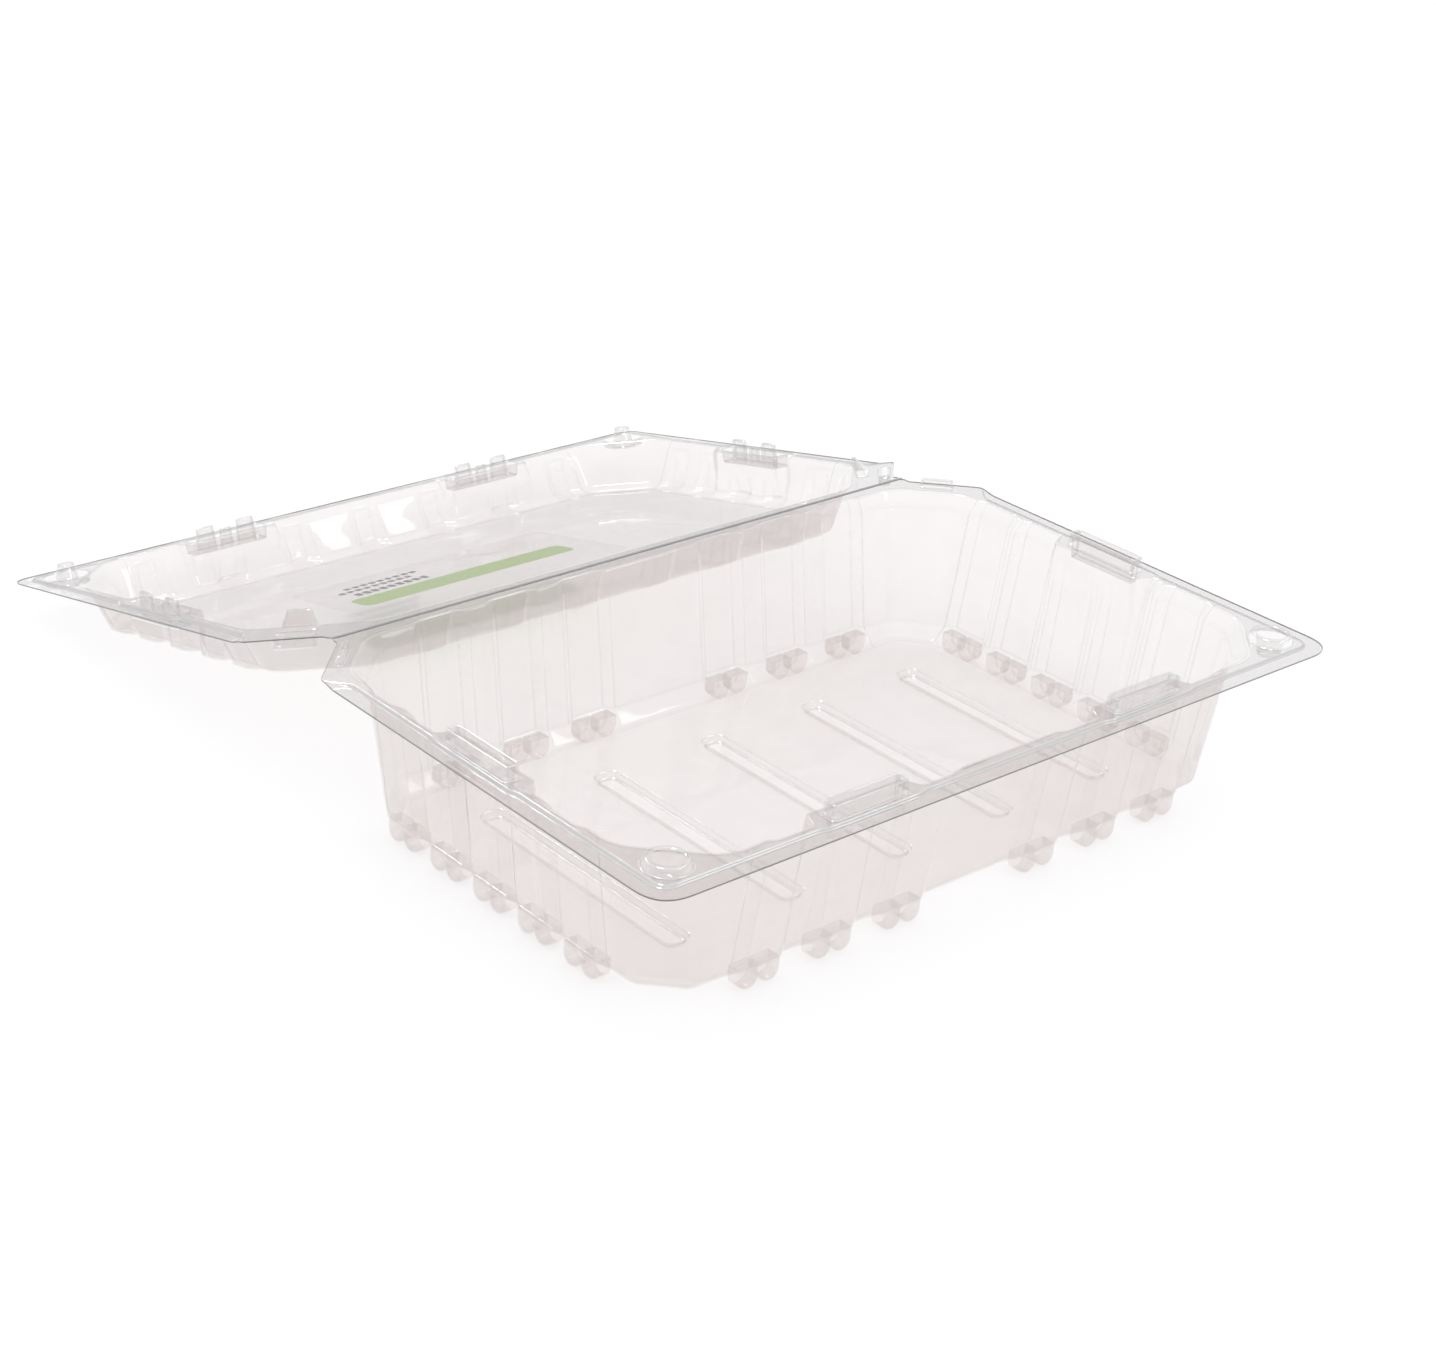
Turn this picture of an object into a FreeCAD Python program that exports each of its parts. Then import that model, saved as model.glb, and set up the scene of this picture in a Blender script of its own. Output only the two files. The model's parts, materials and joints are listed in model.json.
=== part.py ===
"""Hinged produce clamshell in clear thermoformed sheet: a deep ribbed tray, a shallow ribbed lid and the
living hinge between them, modelled open with the lid lying past flat on the table.

Frame: millimetres, +Z up, origin on the table under the middle of the open clamshell. +X runs along the
hinge, the tray lies towards -Y and the lid towards +Y.

Tray and lid are both "pans". A pan is built in its own frame: the hinge edge is the line y = 0, the far
edge is y = -WIDTH, its rim's contact face is z = 0 and its walls go down. Insets are measured inwards from
the outer edge of the rim. A corner cut is given by the sum of the two insets along its 45 degree line.
"""

import FreeCAD
import Part

import math
import os
from collections import namedtuple

V = FreeCAD.Vector

# ---- driving dimensions -------------------------------------------------------------------------------
LENGTH = 280.0  # along the hinge, outer edge to outer edge
WIDTH = 178.0  # hinge edge to far edge, same for tray and lid
SHEET = 0.4  # sheet thickness
RIM_HEIGHT = 54.0  # the tray rim's contact face above the table

# rim
TRAY_CORNER_RADIUS = 11.0  # far corners
LID_CORNER_RADIUS = 7.0
CHAMFER = 22.0  # cut of the hinge-side corners
STEP_INSET = 6.0  # the outer band ends here
STEP_DROP = 0.9  # the outer band lies this much below the contact face
HINGE_GAP = 0.6  # from the hinge axis to each rim
HINGE_GROOVE = 0.1  # the web along the fold is thinned by this much
PIVOT_RISE = 0.2  # the hinge axis above the contact face, so that the closed rims stay apart
EAR_LENGTH = 4.0  # the hinge strip's ends stand out past the corner cuts
EAR_DEPTH = 3.2

# A pan's cross-section: insets of its inner surface from each edge, its corner cuts, its height and how
# far its ribs stand out there.
Level = namedtuple("Level", "side far hinge far_cut hinge_cut z rib")
TRAY_FLOOR_RISE = 2.5  # inner floor line above the table
TRAY_LEVELS = [
    Level(9.0, 9.0, 5.0, 41.0, 32.6, -SHEET, 0.0),
    Level(13.5, 13.5, 8.5, 47.4, 39.0, -4.0, 2.5),
    Level(19.5, 19.5, 15.0, 55.5, 48.0, -46.5, 2.5),
    Level(24.0, 24.5, 19.5, 60.0, 53.0, TRAY_FLOOR_RISE - RIM_HEIGHT, 0.0),
]
LID_DEPTH = 17.5
LID_LEVELS = [
    Level(9.2, 9.2, 5.0, 41.0, 44.0, -SHEET, 0.0),
    Level(11.5, 11.5, 7.5, 44.3, 47.0, -3.0, 0.0),
    Level(13.7, 13.7, 9.7, 47.4, 50.2, -8.0, 2.7),
    Level(17.0, 17.0, 13.0, 52.0, 55.0, -15.5, 3.4),
    Level(20.5, 20.5, 16.5, 57.0, 60.0, -LID_DEPTH, 0.0),
]

# ribs, as centres along each wall
TRAY_RIB = (10.0, 6.5)  # half width at the wall and at its flat crest
LID_RIB = (7.0, 3.4)
TRAY_LONG_RIBS = [sign * x for sign in (-1, 1) for x in (85.0, 57.0, 29.0)]
TRAY_SIDE_PITCH = 21.5
TRAY_SIDE_RIBS = [-40.0 - TRAY_SIDE_PITCH * n for n in range(5)]
LID_RIB_PITCH = 31.0
LID_OUTER_RIBS = [LID_RIB_PITCH * n for n in range(-3, 4)]
LID_HINGE_RIBS = [LID_RIB_PITCH * (n + 0.5) for n in range(-3, 3)]
LID_SIDE_PITCH = 20.2
LID_SIDE_RIBS = [-50.5 - LID_SIDE_PITCH * n for n in range(5)]

# feet: two rounded lobes at the lower end of every rib
FOOT_RADIUS = 4.0
FOOT_AXIS_RISE = 3.7
FOOT_TOP_RISE = 7.2
FOOT_SPACING = 8.0
FOOT_INSETS = (17.0, 22.5)

# pressed bars in the tray floor, which reach the table
FLOOR_BAR_PITCH = 45.0
FLOOR_BAR_COUNT = 5
FLOOR_BAR_SIZE = (9.0, 92.0)
FLOOR_BAR_WALL_SLOPE = 1.0

# corner snaps
SNAP_INSET = 14.5
BOSS_RADII = (7.25, 6.4)  # foot and top
BOSS_HEIGHT = 2.5
RECESS_RADII = (4.75, 3.5)  # mouth and bottom
RECESS_BOTTOM = -5.0
BUTTON_RADII = (4.3, 3.1)  # root and tip
BUTTON_HEIGHT = 4.4  # above the lid's contact face
BUTTON_POCKET_RADIUS = 7.85
BUTTON_POCKET_TAPER = 0.5
BUTTON_POCKET_DEPTH = 3.0

# closure bars on the tray and the latches on the lid that drop into them
BAR_LENGTH = 30.0
BAR_INSETS = (6.3, 12.3)
BAR_HEIGHT = 4.5
BAR_TAPER = 0.45
BAR_WALL = 1.3  # wall round its slot
SLOT_BOTTOM = -4.5
LATCH_CLEARANCE = 0.8
LATCH_POCKET_DEPTH = 4.9
LATCH_WIDTHS = (2.4, 1.6)  # root and tip of a latch bump
LATCH_FLARE = 0.4  # each end of a latch bump is this much longer at its root
LATCH_BUMPS = [(-8.4, 7.4, 3.9), (0.0, 4.6, 1.9), (8.4, 7.4, 3.9)]  # place, length, height of each
SHELF = (36.0, 14.2)  # length, and the inset that the rim widens to at a bar
LONG_BAR_X = 58.0

# short bars on the tray's hinge-side corners, and the lugs on the lid's
REAR_BAR_CUTS = (25.0, 28.6)
REAR_BAR_LENGTH = 12.0
REAR_BAR_HEIGHT = 3.0
REAR_POCKET_CLEARANCE = 0.7
REAR_POCKET_DEPTH = 3.6
LUG_ROOT_CUTS = (35.0, 42.0)
LUG_TIP_CUTS = (41.0, 43.5)
LUG_LENGTHS = (12.0, 8.0)
LUG_HEIGHT = 5.5

# printed label on the outside of the lid's panel
LABEL_SIZE = (112.0, 58.0)
LABEL_CENTRE = (-6.0, -96.0)  # in the lid's pan frame
LABEL_THICKNESS = 0.12
LABEL_RADIUS = 6.0

# cutting blocks reach this far past the part
REACH = 200.0
MARGIN = 10.0

# ---- where the pans stand -----------------------------------------------------------------------------
ROOT2 = math.sqrt(2.0)
PIVOT_Z = RIM_HEIGHT + PIVOT_RISE
# The lid rests on the far edge of its panel: reach * sin(tilt) + drop * cos(tilt) = PIVOT_Z.
REST_REACH = WIDTH - LID_LEVELS[-1].far + SHEET
REST_DROP = LID_DEPTH + SHEET + PIVOT_RISE
LID_TILT = math.asin(PIVOT_Z / math.hypot(REST_REACH, REST_DROP)) - math.atan2(REST_DROP, REST_REACH)
# The hinge line is set so that the open clamshell is centred on the origin.
LID_SPAN = WIDTH * math.cos(LID_TILT) - (PIVOT_RISE + STEP_DROP) * math.sin(LID_TILT)
HINGE_Y = (WIDTH - LID_SPAN) / 2.0


# ---- small helpers ------------------------------------------------------------------------------------
def prism(points, low, high):
    """A solid over a closed outline of (x, y) points, between two heights."""
    wire = Part.makePolygon([V(x, y, low) for x, y in list(points) + [points[0]]])
    return Part.Face(wire).extrude(V(0, 0, high - low))


def block(x_range, y_range, z_range):
    """A box between two values on each axis."""
    spans = [sorted(pair) for pair in (x_range, y_range, z_range)]
    size = [high - low for low, high in spans]
    return Part.makeBox(size[0], size[1], size[2], V(*[low for low, _ in spans]))


def loft(outlines):
    """A ruled solid through closed outlines of equal point counts, each with its height."""
    wires = [Part.makePolygon([V(x, y, z) for x, y in list(pts) + [pts[0]]]) for pts, z in outlines]
    return Part.makeLoft(wires, True, True)


def fuse(shapes):
    """One solid from shapes that overlap or share faces."""
    joined = shapes[0].multiFuse(shapes[1:])
    return joined.Solids[0] if len(joined.Solids) == 1 else joined


def cone(centre, radii, z_range):
    """A cone frustum standing along Z, with its first radius at the first height."""
    height = z_range[1] - z_range[0]
    return Part.makeCone(radii[0], radii[1], height, V(centre[0], centre[1], z_range[0]))


def rectangle(centre, along, half_length, low, high):
    """Corners of a rectangle whose long side runs along X or Y, between two places across it."""
    if along == "x":
        pts = [(-1, low), (1, low), (1, high), (-1, high)]
        return [(centre + sign * half_length, across) for sign, across in pts]
    pts = [(low, -1), (high, -1), (high, 1), (low, 1)]
    return [(across, centre + sign * half_length) for across, sign in pts]


def place_tray(shape):
    """Moves a shape from the pan's frame to the tray's place."""
    placed = shape.copy()
    placed.translate(V(0, HINGE_Y, RIM_HEIGHT))
    return placed


def place_lid(shape):
    """Turns a pan over the hinge line, lays it open and tilts it until it rests on the table."""
    placed = shape.mirror(V(0, 0, 0), V(0, 1, 0))
    placed.translate(V(0, 0, -PIVOT_RISE))
    placed.rotate(V(0, 0, 0), V(1, 0, 0), -math.degrees(LID_TILT))
    placed.translate(V(0, HINGE_Y, PIVOT_Z))
    return placed


# ---- walls --------------------------------------------------------------------------------------------
def grown(level, by):
    """The same level with every inset taken outwards, which is the sheet's outer surface."""
    return level._replace(
        side=level.side - by,
        far=level.far - by,
        hinge=level.hinge - by,
        far_cut=level.far_cut - ROOT2 * by,
        hinge_cut=level.hinge_cut - ROOT2 * by,
    )


def corner_points(level):
    """The eight corners of a pan's opening: far left, far right, right, hinge right, hinge left, left."""
    half = LENGTH / 2.0
    far_x = half - (level.far_cut - level.far)
    hinge_x = half - (level.hinge_cut - level.hinge)
    side_x = half - level.side
    side_far_y = -WIDTH + level.far_cut - level.side
    side_hinge_y = -(level.hinge_cut - level.side)
    return {
        "far": ((-far_x, -WIDTH + level.far), (far_x, -WIDTH + level.far)),
        "hinge": ((-hinge_x, -level.hinge), (hinge_x, -level.hinge)),
        "left": ((-side_x, side_far_y), (-side_x, side_hinge_y)),
        "right": ((side_x, side_far_y), (side_x, side_hinge_y)),
    }


def octagon(level):
    """The outline of a pan's opening as a closed list of points."""
    edges = corner_points(level)
    return [
        edges["far"][0],
        edges["far"][1],
        edges["right"][0],
        edges["right"][1],
        edges["hinge"][1],
        edges["hinge"][0],
        edges["left"][1],
        edges["left"][0],
    ]


OUTWARD = {"far": (0, -1), "hinge": (0, 1), "left": (-1, 0), "right": (1, 0)}


def ribbed_line(level, side, ribs, rib_halves):
    """One wall's line at one level, from its first corner to its last, out over each rib."""
    start, end = corner_points(level)[side]
    out_x, out_y = OUTWARD[side]
    root, crest = rib_halves
    points = [start]
    for rib in sorted(ribs):
        for offset, out in ((-root, 0), (-crest, 1), (crest, 1), (root, 0)):
            if side in ("far", "hinge"):
                points.append((rib + offset, start[1] + out * out_y * level.rib))
            else:
                points.append((start[0] + out * out_x * level.rib, rib + offset))
    points.append(end)
    return points


def wall(levels, side, ribs, rib_halves):
    """A ribbed wall of a pan, as a ruled sheet through its levels."""
    outlines = []
    for level in levels:
        inner = ribbed_line(level, side, ribs, rib_halves)
        outer = ribbed_line(grown(level, SHEET), side, ribs, rib_halves)
        outlines.append((inner + outer[::-1], level.z))
    return loft(outlines)


def corner_wall(levels, first, last):
    """The plain 45 degree wall that joins two ribbed walls, each named with the end that it takes."""
    outlines = []
    for level in levels:
        inner = corner_points(level)
        outer = corner_points(grown(level, SHEET))
        ends = [inner[first[0]][first[1]], inner[last[0]][last[1]]]
        outlines.append((ends + [outer[last[0]][last[1]], outer[first[0]][first[1]]], level.z))
    return loft(outlines)


def walls(levels, ribs, rib_halves, names):
    """All eight walls of a pan. names gives the pan's name and its words for far and hinge."""
    pan, far, hinge = names
    return {
        f"{pan}_{far}_wall": wall(levels, "far", ribs["far"], rib_halves),
        f"{pan}_{hinge}_wall": wall(levels, "hinge", ribs["hinge"], rib_halves),
        f"{pan}_left_wall": wall(levels, "left", ribs["side"], rib_halves),
        f"{pan}_right_wall": wall(levels, "right", ribs["side"], rib_halves),
        f"{pan}_{far}_left_corner": corner_wall(levels, ("left", 0), ("far", 0)),
        f"{pan}_{far}_right_corner": corner_wall(levels, ("far", 1), ("right", 0)),
        f"{pan}_{hinge}_left_corner": corner_wall(levels, ("hinge", 0), ("left", 1)),
        f"{pan}_{hinge}_right_corner": corner_wall(levels, ("right", 1), ("hinge", 1)),
    }


# ---- rim ----------------------------------------------------------------------------------------------
def rim_plate(corner, inset, low, high):
    """A plate over a rim with a far corner radius, drawn in by an inset on all but the hinge edge."""
    half = LENGTH / 2.0 - inset
    far_y = -WIDTH + inset
    radius = corner - inset
    cut = CHAMFER + ROOT2 * inset - inset
    hinge_y = -HINGE_GAP
    bend = radius * (1.0 - 1.0 / ROOT2)
    line = Part.LineSegment
    left_arc = Part.Arc(
        V(-half, far_y + radius, low),
        V(-half + bend, far_y + bend, low),
        V(-half + radius, far_y, low),
    )
    right_arc = Part.Arc(
        V(half - radius, far_y, low),
        V(half - bend, far_y + bend, low),
        V(half, far_y + radius, low),
    )
    chamfer_x = half - cut + HINGE_GAP
    corners = [
        V(half, far_y + radius, low),
        V(half, -cut, low),
        V(chamfer_x, hinge_y, low),
        V(-chamfer_x, hinge_y, low),
        V(-half, -cut, low),
        V(-half, far_y + radius, low),
    ]
    edges = [left_arc.toShape(), line(V(-half + radius, far_y, low), V(half - radius, far_y, low)).toShape()]
    edges.append(right_arc.toShape())
    edges += [line(a, b).toShape() for a, b in zip(corners, corners[1:])]
    return Part.Face(Part.Wire(Part.sortEdges(edges)[0])).extrude(V(0, 0, high - low))


def rim(levels, names, shelves, corner):
    """The pan's rim, stepped down to its outer band, as four strips and four corner webs."""
    pan, far, hinge = names
    top = levels[0]
    everywhere = (-MARGIN, MARGIN)
    past_far = -WIDTH - MARGIN
    opening = prism(octagon(top), -MARGIN, MARGIN)
    band_end = -(top.hinge_cut - top.side)
    far_part = block((-REACH, REACH), (past_far, band_end), everywhere)
    hinge_part = block((-REACH, REACH), (band_end, MARGIN), everywhere)
    inside = rim_plate(corner, STEP_INSET, -MARGIN, MARGIN)
    band = rim_plate(corner, 0.0, -STEP_DROP - SHEET, -STEP_DROP).cut(inside)
    step = rim_plate(corner, STEP_INSET - SHEET, -STEP_DROP - SHEET, 0.0).cut(inside)
    land = rim_plate(corner, STEP_INSET - SHEET, -SHEET, 0.0)
    outer = fuse([band, step, land]).common(far_part)
    ears = [
        block(
            (sign * (LENGTH / 2.0 - CHAMFER - EAR_DEPTH), sign * (LENGTH / 2.0 - CHAMFER + EAR_LENGTH)),
            (-EAR_DEPTH, -HINGE_GAP),
            (-SHEET, 0.0),
        )
        for sign in (-1, 1)
    ]
    inner = fuse([rim_plate(corner, 0.0, -SHEET, 0.0)] + ears).common(hinge_part)
    ring = fuse([fuse([outer, inner]).cut(opening)] + [shelf.cut(far_slack()) for shelf in shelves])
    far_x = LENGTH / 2.0 - (top.far_cut - top.far)
    hinge_x = LENGTH / 2.0 - (top.hinge_cut - top.hinge)
    web_y = -WIDTH + top.far_cut - top.side
    regions = {
        f"{pan}_{far}_rim": block((-far_x, far_x), (past_far, web_y), everywhere),
        f"{pan}_{hinge}_rim": block((-hinge_x, hinge_x), (band_end, MARGIN), everywhere),
        f"{pan}_left_rim": block((-REACH, 0), (web_y, band_end), everywhere),
        f"{pan}_right_rim": block((0, REACH), (web_y, band_end), everywhere),
        f"{pan}_{far}_left_web": block((-REACH, -far_x), (past_far, web_y), everywhere),
        f"{pan}_{far}_right_web": block((far_x, REACH), (past_far, web_y), everywhere),
        f"{pan}_{hinge}_left_web": block((-REACH, -hinge_x), (band_end, MARGIN), everywhere),
        f"{pan}_{hinge}_right_web": block((hinge_x, REACH), (band_end, MARGIN), everywhere),
    }
    return {name: ring.common(region) for name, region in regions.items()}


def far_slack():
    """Everything outside the far edge, so that a shelf never passes the rim."""
    return block((-REACH, REACH), (-WIDTH - REACH, -WIDTH), (-MARGIN, MARGIN))


# ---- closure bars, latches and their places -----------------------------------------------------------
Place = namedtuple("Place", "name along centre outward")
BAR_PLACES = [
    Place("front_left", "x", -LONG_BAR_X, -1),
    Place("front_right", "x", LONG_BAR_X, -1),
    Place("left", "y", -WIDTH / 2.0, -1),
    Place("right", "y", -WIDTH / 2.0, 1),
]


def across(place, inset):
    """Where an inset lies across the rim at a bar's place."""
    if place.along == "x":
        return -WIDTH + inset
    return place.outward * (LENGTH / 2.0 - inset)


def bar_outline(place, half_length, insets, offset=0.0):
    """A rectangle on the rim at a bar's place, offset along the rim."""
    low, high = sorted(across(place, inset) for inset in insets)
    return rectangle(place.centre + offset, place.along, half_length, low, high)


def tapered(place, z_low, z_high, half_lengths, insets_low, insets_high, offset=0.0):
    """A tapered block on the rim between two heights."""
    return loft(
        [
            (bar_outline(place, half_lengths[0], insets_low, offset), z_low),
            (bar_outline(place, half_lengths[1], insets_high, offset), z_high),
        ]
    )


def shrunk(insets, by):
    """A pair of insets brought nearer together on both sides."""
    return (insets[0] + by, insets[1] - by)


def shelf(place):
    """The rim's local widening under a bar or latch."""
    return prism(bar_outline(place, SHELF[0] / 2.0, (STEP_INSET + 1.0, SHELF[1])), -SHEET, 0.0)


def closure_bar(place):
    """A raised bar with a slot down its middle, and the hole that it takes out of rim and wall."""
    half = BAR_LENGTH / 2.0
    top_insets = shrunk(BAR_INSETS, BAR_TAPER)
    outside = tapered(place, 0.0, BAR_HEIGHT, (half, half - BAR_TAPER), BAR_INSETS, top_insets)
    mouth = shrunk(BAR_INSETS, BAR_WALL)
    floor = shrunk(mouth, BAR_TAPER)
    slot_half = half - BAR_WALL - BAR_TAPER
    slot = tapered(place, SLOT_BOTTOM, BAR_HEIGHT, (slot_half - BAR_TAPER, slot_half), floor, mouth)
    cup = tapered(
        place,
        SLOT_BOTTOM - SHEET,
        0.0,
        (slot_half + SHEET - BAR_TAPER, slot_half + SHEET),
        shrunk(floor, -SHEET),
        shrunk(mouth, -SHEET),
    )
    return fuse([outside, cup]).cut(slot), cup


def latch(place):
    """A pocket in the lid that clears a closure bar, with the bumps that drop into its slot."""
    half = BAR_LENGTH / 2.0 + LATCH_CLEARANCE
    mouth = shrunk(BAR_INSETS, -LATCH_CLEARANCE)
    floor = shrunk(mouth, BAR_TAPER)
    low = -LATCH_POCKET_DEPTH
    hollow = tapered(place, low, 0.0, (half - BAR_TAPER, half), floor, mouth)
    envelope = tapered(
        place,
        low - SHEET,
        0.0,
        (half + SHEET - BAR_TAPER, half + SHEET),
        shrunk(floor, -SHEET),
        shrunk(mouth, -SHEET),
    )
    middle = sum(BAR_INSETS) / 2.0
    root, tip = [(middle - width / 2.0, middle + width / 2.0) for width in LATCH_WIDTHS]
    bumps = [
        tapered(place, low, height, (length / 2.0 + LATCH_FLARE, length / 2.0), root, tip, offset)
        for offset, length, height in LATCH_BUMPS
    ]
    return fuse([envelope.cut(hollow)] + bumps), envelope


# ---- corner snaps -------------------------------------------------------------------------------------
def snap_centre(sign):
    """The middle of a far corner's snap, left for -1 and right for +1."""
    return (sign * (LENGTH / 2.0 - SNAP_INSET), -WIDTH + SNAP_INSET)


def snap_socket(sign):
    """A raised ring with a cup-shaped recess, and the hole that it takes out of the web."""
    centre = snap_centre(sign)
    boss = cone(centre, BOSS_RADII, (0.0, BOSS_HEIGHT))
    recess = cone(centre, RECESS_RADII[::-1], (RECESS_BOTTOM, BOSS_HEIGHT))
    radii = [radius + SHEET for radius in RECESS_RADII[::-1]]
    cup = cone(centre, radii, (RECESS_BOTTOM - SHEET, 0.0))
    return fuse([boss, cup]).cut(recess), cup


def snap_button(sign):
    """A round pocket that clears the ring, with the button standing in it."""
    centre = snap_centre(sign)
    low = -BUTTON_POCKET_DEPTH
    radii = (BUTTON_POCKET_RADIUS - BUTTON_POCKET_TAPER, BUTTON_POCKET_RADIUS)
    hollow = cone(centre, radii, (low, 0.0))
    envelope = cone(centre, [radius + SHEET for radius in radii], (low - SHEET, 0.0))
    button = cone(centre, BUTTON_RADII, (low, BUTTON_HEIGHT))
    slimmer = [radius - SHEET for radius in BUTTON_RADII]
    inside = cone(centre, slimmer, (low - SHEET, BUTTON_HEIGHT - SHEET))
    return fuse([envelope.cut(hollow), button]).cut(inside), envelope


# ---- hinge-side corners -------------------------------------------------------------------------------
def diagonal(sign, cuts, length):
    """A rectangle along a hinge-side corner's 45 degree line, between two corner cuts."""
    points = []
    for cut, end in ((cuts[0], -1), (cuts[0], 1), (cuts[1], 1), (cuts[1], -1)):
        shift = end * length / 2.0 / ROOT2
        points.append((sign * (LENGTH / 2.0 - cut / 2.0 + shift), -cut / 2.0 - shift))
    return points


def rear_bar(sign):
    """A short raised bar on a tray corner."""
    low = diagonal(sign, REAR_BAR_CUTS, REAR_BAR_LENGTH)
    high = diagonal(sign, shrunk(REAR_BAR_CUTS, BAR_TAPER), REAR_BAR_LENGTH - 2.0 * BAR_TAPER)
    return loft([(low, 0.0), (high, REAR_BAR_HEIGHT)])


def hinge_lug(sign):
    """A pocket that clears the tray's short bar, and the lug that hangs inside the closed tray."""
    clear = REAR_POCKET_CLEARANCE * ROOT2
    cuts = shrunk(REAR_BAR_CUTS, -clear)
    length = REAR_BAR_LENGTH + 2.0 * clear
    outer_cuts = shrunk(cuts, -SHEET * ROOT2)
    outer_length = length + 2.0 * SHEET
    hollow = prism(diagonal(sign, cuts, length), -REAR_POCKET_DEPTH, 0.0)
    envelope = prism(diagonal(sign, outer_cuts, outer_length), -REAR_POCKET_DEPTH - SHEET, 0.0)
    lug = loft(
        [
            (diagonal(sign, LUG_ROOT_CUTS, LUG_LENGTHS[0]), 0.0),
            (diagonal(sign, LUG_TIP_CUTS, LUG_LENGTHS[1]), LUG_HEIGHT),
        ]
    )
    return lug, envelope.cut(hollow), envelope


# ---- tray ---------------------------------------------------------------------------------------------
def tray_floor():
    """The flat bottom, with bars pressed down to the table."""
    bottom = TRAY_LEVELS[-1]
    table = -RIM_HEIGHT
    plate = prism(octagon(grown(bottom, SHEET)), bottom.z - SHEET, bottom.z)
    middle = -(WIDTH - bottom.far + bottom.hinge) / 2.0
    width, length = FLOOR_BAR_SIZE
    first = -(FLOOR_BAR_COUNT - 1) / 2.0
    for number in range(FLOOR_BAR_COUNT):
        x = (first + number) * FLOOR_BAR_PITCH
        outlines = []
        for grow in (0.0, -SHEET):
            top = rectangle(middle, "y", length / 2.0 + grow, x - width / 2.0 - grow, x + width / 2.0 + grow)
            slope = FLOOR_BAR_WALL_SLOPE
            half = width / 2.0 - slope + grow
            low = rectangle(middle, "y", length / 2.0 - slope + grow, x - half, x + half)
            outlines.append((top, low))
        pan = loft([(outlines[0][1], table), (outlines[0][0], bottom.z - SHEET)])
        hollow = loft([(outlines[1][1], table + SHEET), (outlines[1][0], bottom.z)])
        plate = fuse([plate, pan]).cut(hollow)
    return plate


def foot_lobe(side, along, low_inset, high_inset):
    """One rounded lobe: a lying cylinder across the wall, cut flat on the table."""
    table = -RIM_HEIGHT
    top = table + FOOT_TOP_RISE
    axis_z = table + FOOT_AXIS_RISE
    length = high_inset - low_inset
    span = (along - FOOT_RADIUS, along + FOOT_RADIUS)
    if side in ("far", "hinge"):
        y = -WIDTH + low_inset if side == "far" else -high_inset
        lobe = Part.makeCylinder(FOOT_RADIUS, length, V(along, y, axis_z), V(0, 1, 0))
        lobe = lobe.fuse(block(span, (y, y + length), (axis_z, top)))
    else:
        x = -LENGTH / 2.0 + low_inset if side == "left" else LENGTH / 2.0 - high_inset
        lobe = Part.makeCylinder(FOOT_RADIUS, length, V(x, along, axis_z), V(1, 0, 0))
        lobe = lobe.fuse(block((x, x + length), span, (axis_z, top)))
    return lobe.common(block((-REACH, REACH), (-REACH, MARGIN), (table, top)))


def feet(side, ribs, neighbours):
    """The lobes under every rib of one wall, trimmed to sit on the wall and the floor."""
    shift = TRAY_LEVELS[2].hinge - TRAY_LEVELS[2].far if side == "hinge" else 0.0
    low, high = [inset + shift for inset in FOOT_INSETS]
    lobes = []
    for rib in ribs:
        for sign in (-1, 1):
            lobe = foot_lobe(side, rib + sign * FOOT_SPACING / 2.0, low, high)
            lobes.append(lobe)
    pairs = [fuse(lobes[n : n + 2]) for n in range(0, len(lobes), 2)]
    trimmed = []
    for pair in pairs:
        for neighbour in neighbours:
            pair = pair.cut(neighbour)
        solids = [solid for solid in pair.Solids if solid.BoundBox.ZMin < -RIM_HEIGHT + SHEET]
        trimmed.append(max(solids, key=lambda solid: solid.Volume))
    return Part.makeCompound(trimmed)


def tray_nodes():
    """Every node of the tray, in the pan's frame."""
    names = ("tray", "front", "rear")
    ribs = {"far": TRAY_LONG_RIBS, "hinge": TRAY_LONG_RIBS, "side": TRAY_SIDE_RIBS}
    nodes = walls(TRAY_LEVELS, ribs, TRAY_RIB, names)
    nodes.update(rim(TRAY_LEVELS, names, [shelf(place) for place in BAR_PLACES], TRAY_CORNER_RADIUS))
    nodes["tray_floor"] = tray_floor()
    for side, word, centres in (
        ("far", "front", TRAY_LONG_RIBS),
        ("hinge", "rear", TRAY_LONG_RIBS),
        ("left", "left", TRAY_SIDE_RIBS),
        ("right", "right", TRAY_SIDE_RIBS),
    ):
        nodes[f"feet_{word}"] = feet(side, centres, [nodes[f"tray_{word}_wall"], nodes["tray_floor"]])
    for place in BAR_PLACES:
        bar, cup = closure_bar(place)
        side = "front" if place.along == "x" else place.name
        for name in (f"tray_{side}_rim", f"tray_{side}_wall"):
            nodes[name] = nodes[name].cut(cup)
        nodes[f"closure_bar_{place.name}"] = bar
    for sign, word in ((-1, "left"), (1, "right")):
        socket, cup = snap_socket(sign)
        nodes[f"tray_front_{word}_web"] = nodes[f"tray_front_{word}_web"].cut(cup)
        nodes[f"snap_socket_{word}"] = socket
        nodes[f"rear_bar_{word}"] = rear_bar(sign)
    return nodes


# ---- lid ----------------------------------------------------------------------------------------------
def lid_panel():
    """The lid's flat top panel."""
    bottom = LID_LEVELS[-1]
    return prism(octagon(grown(bottom, SHEET)), bottom.z - SHEET, bottom.z)


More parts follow.
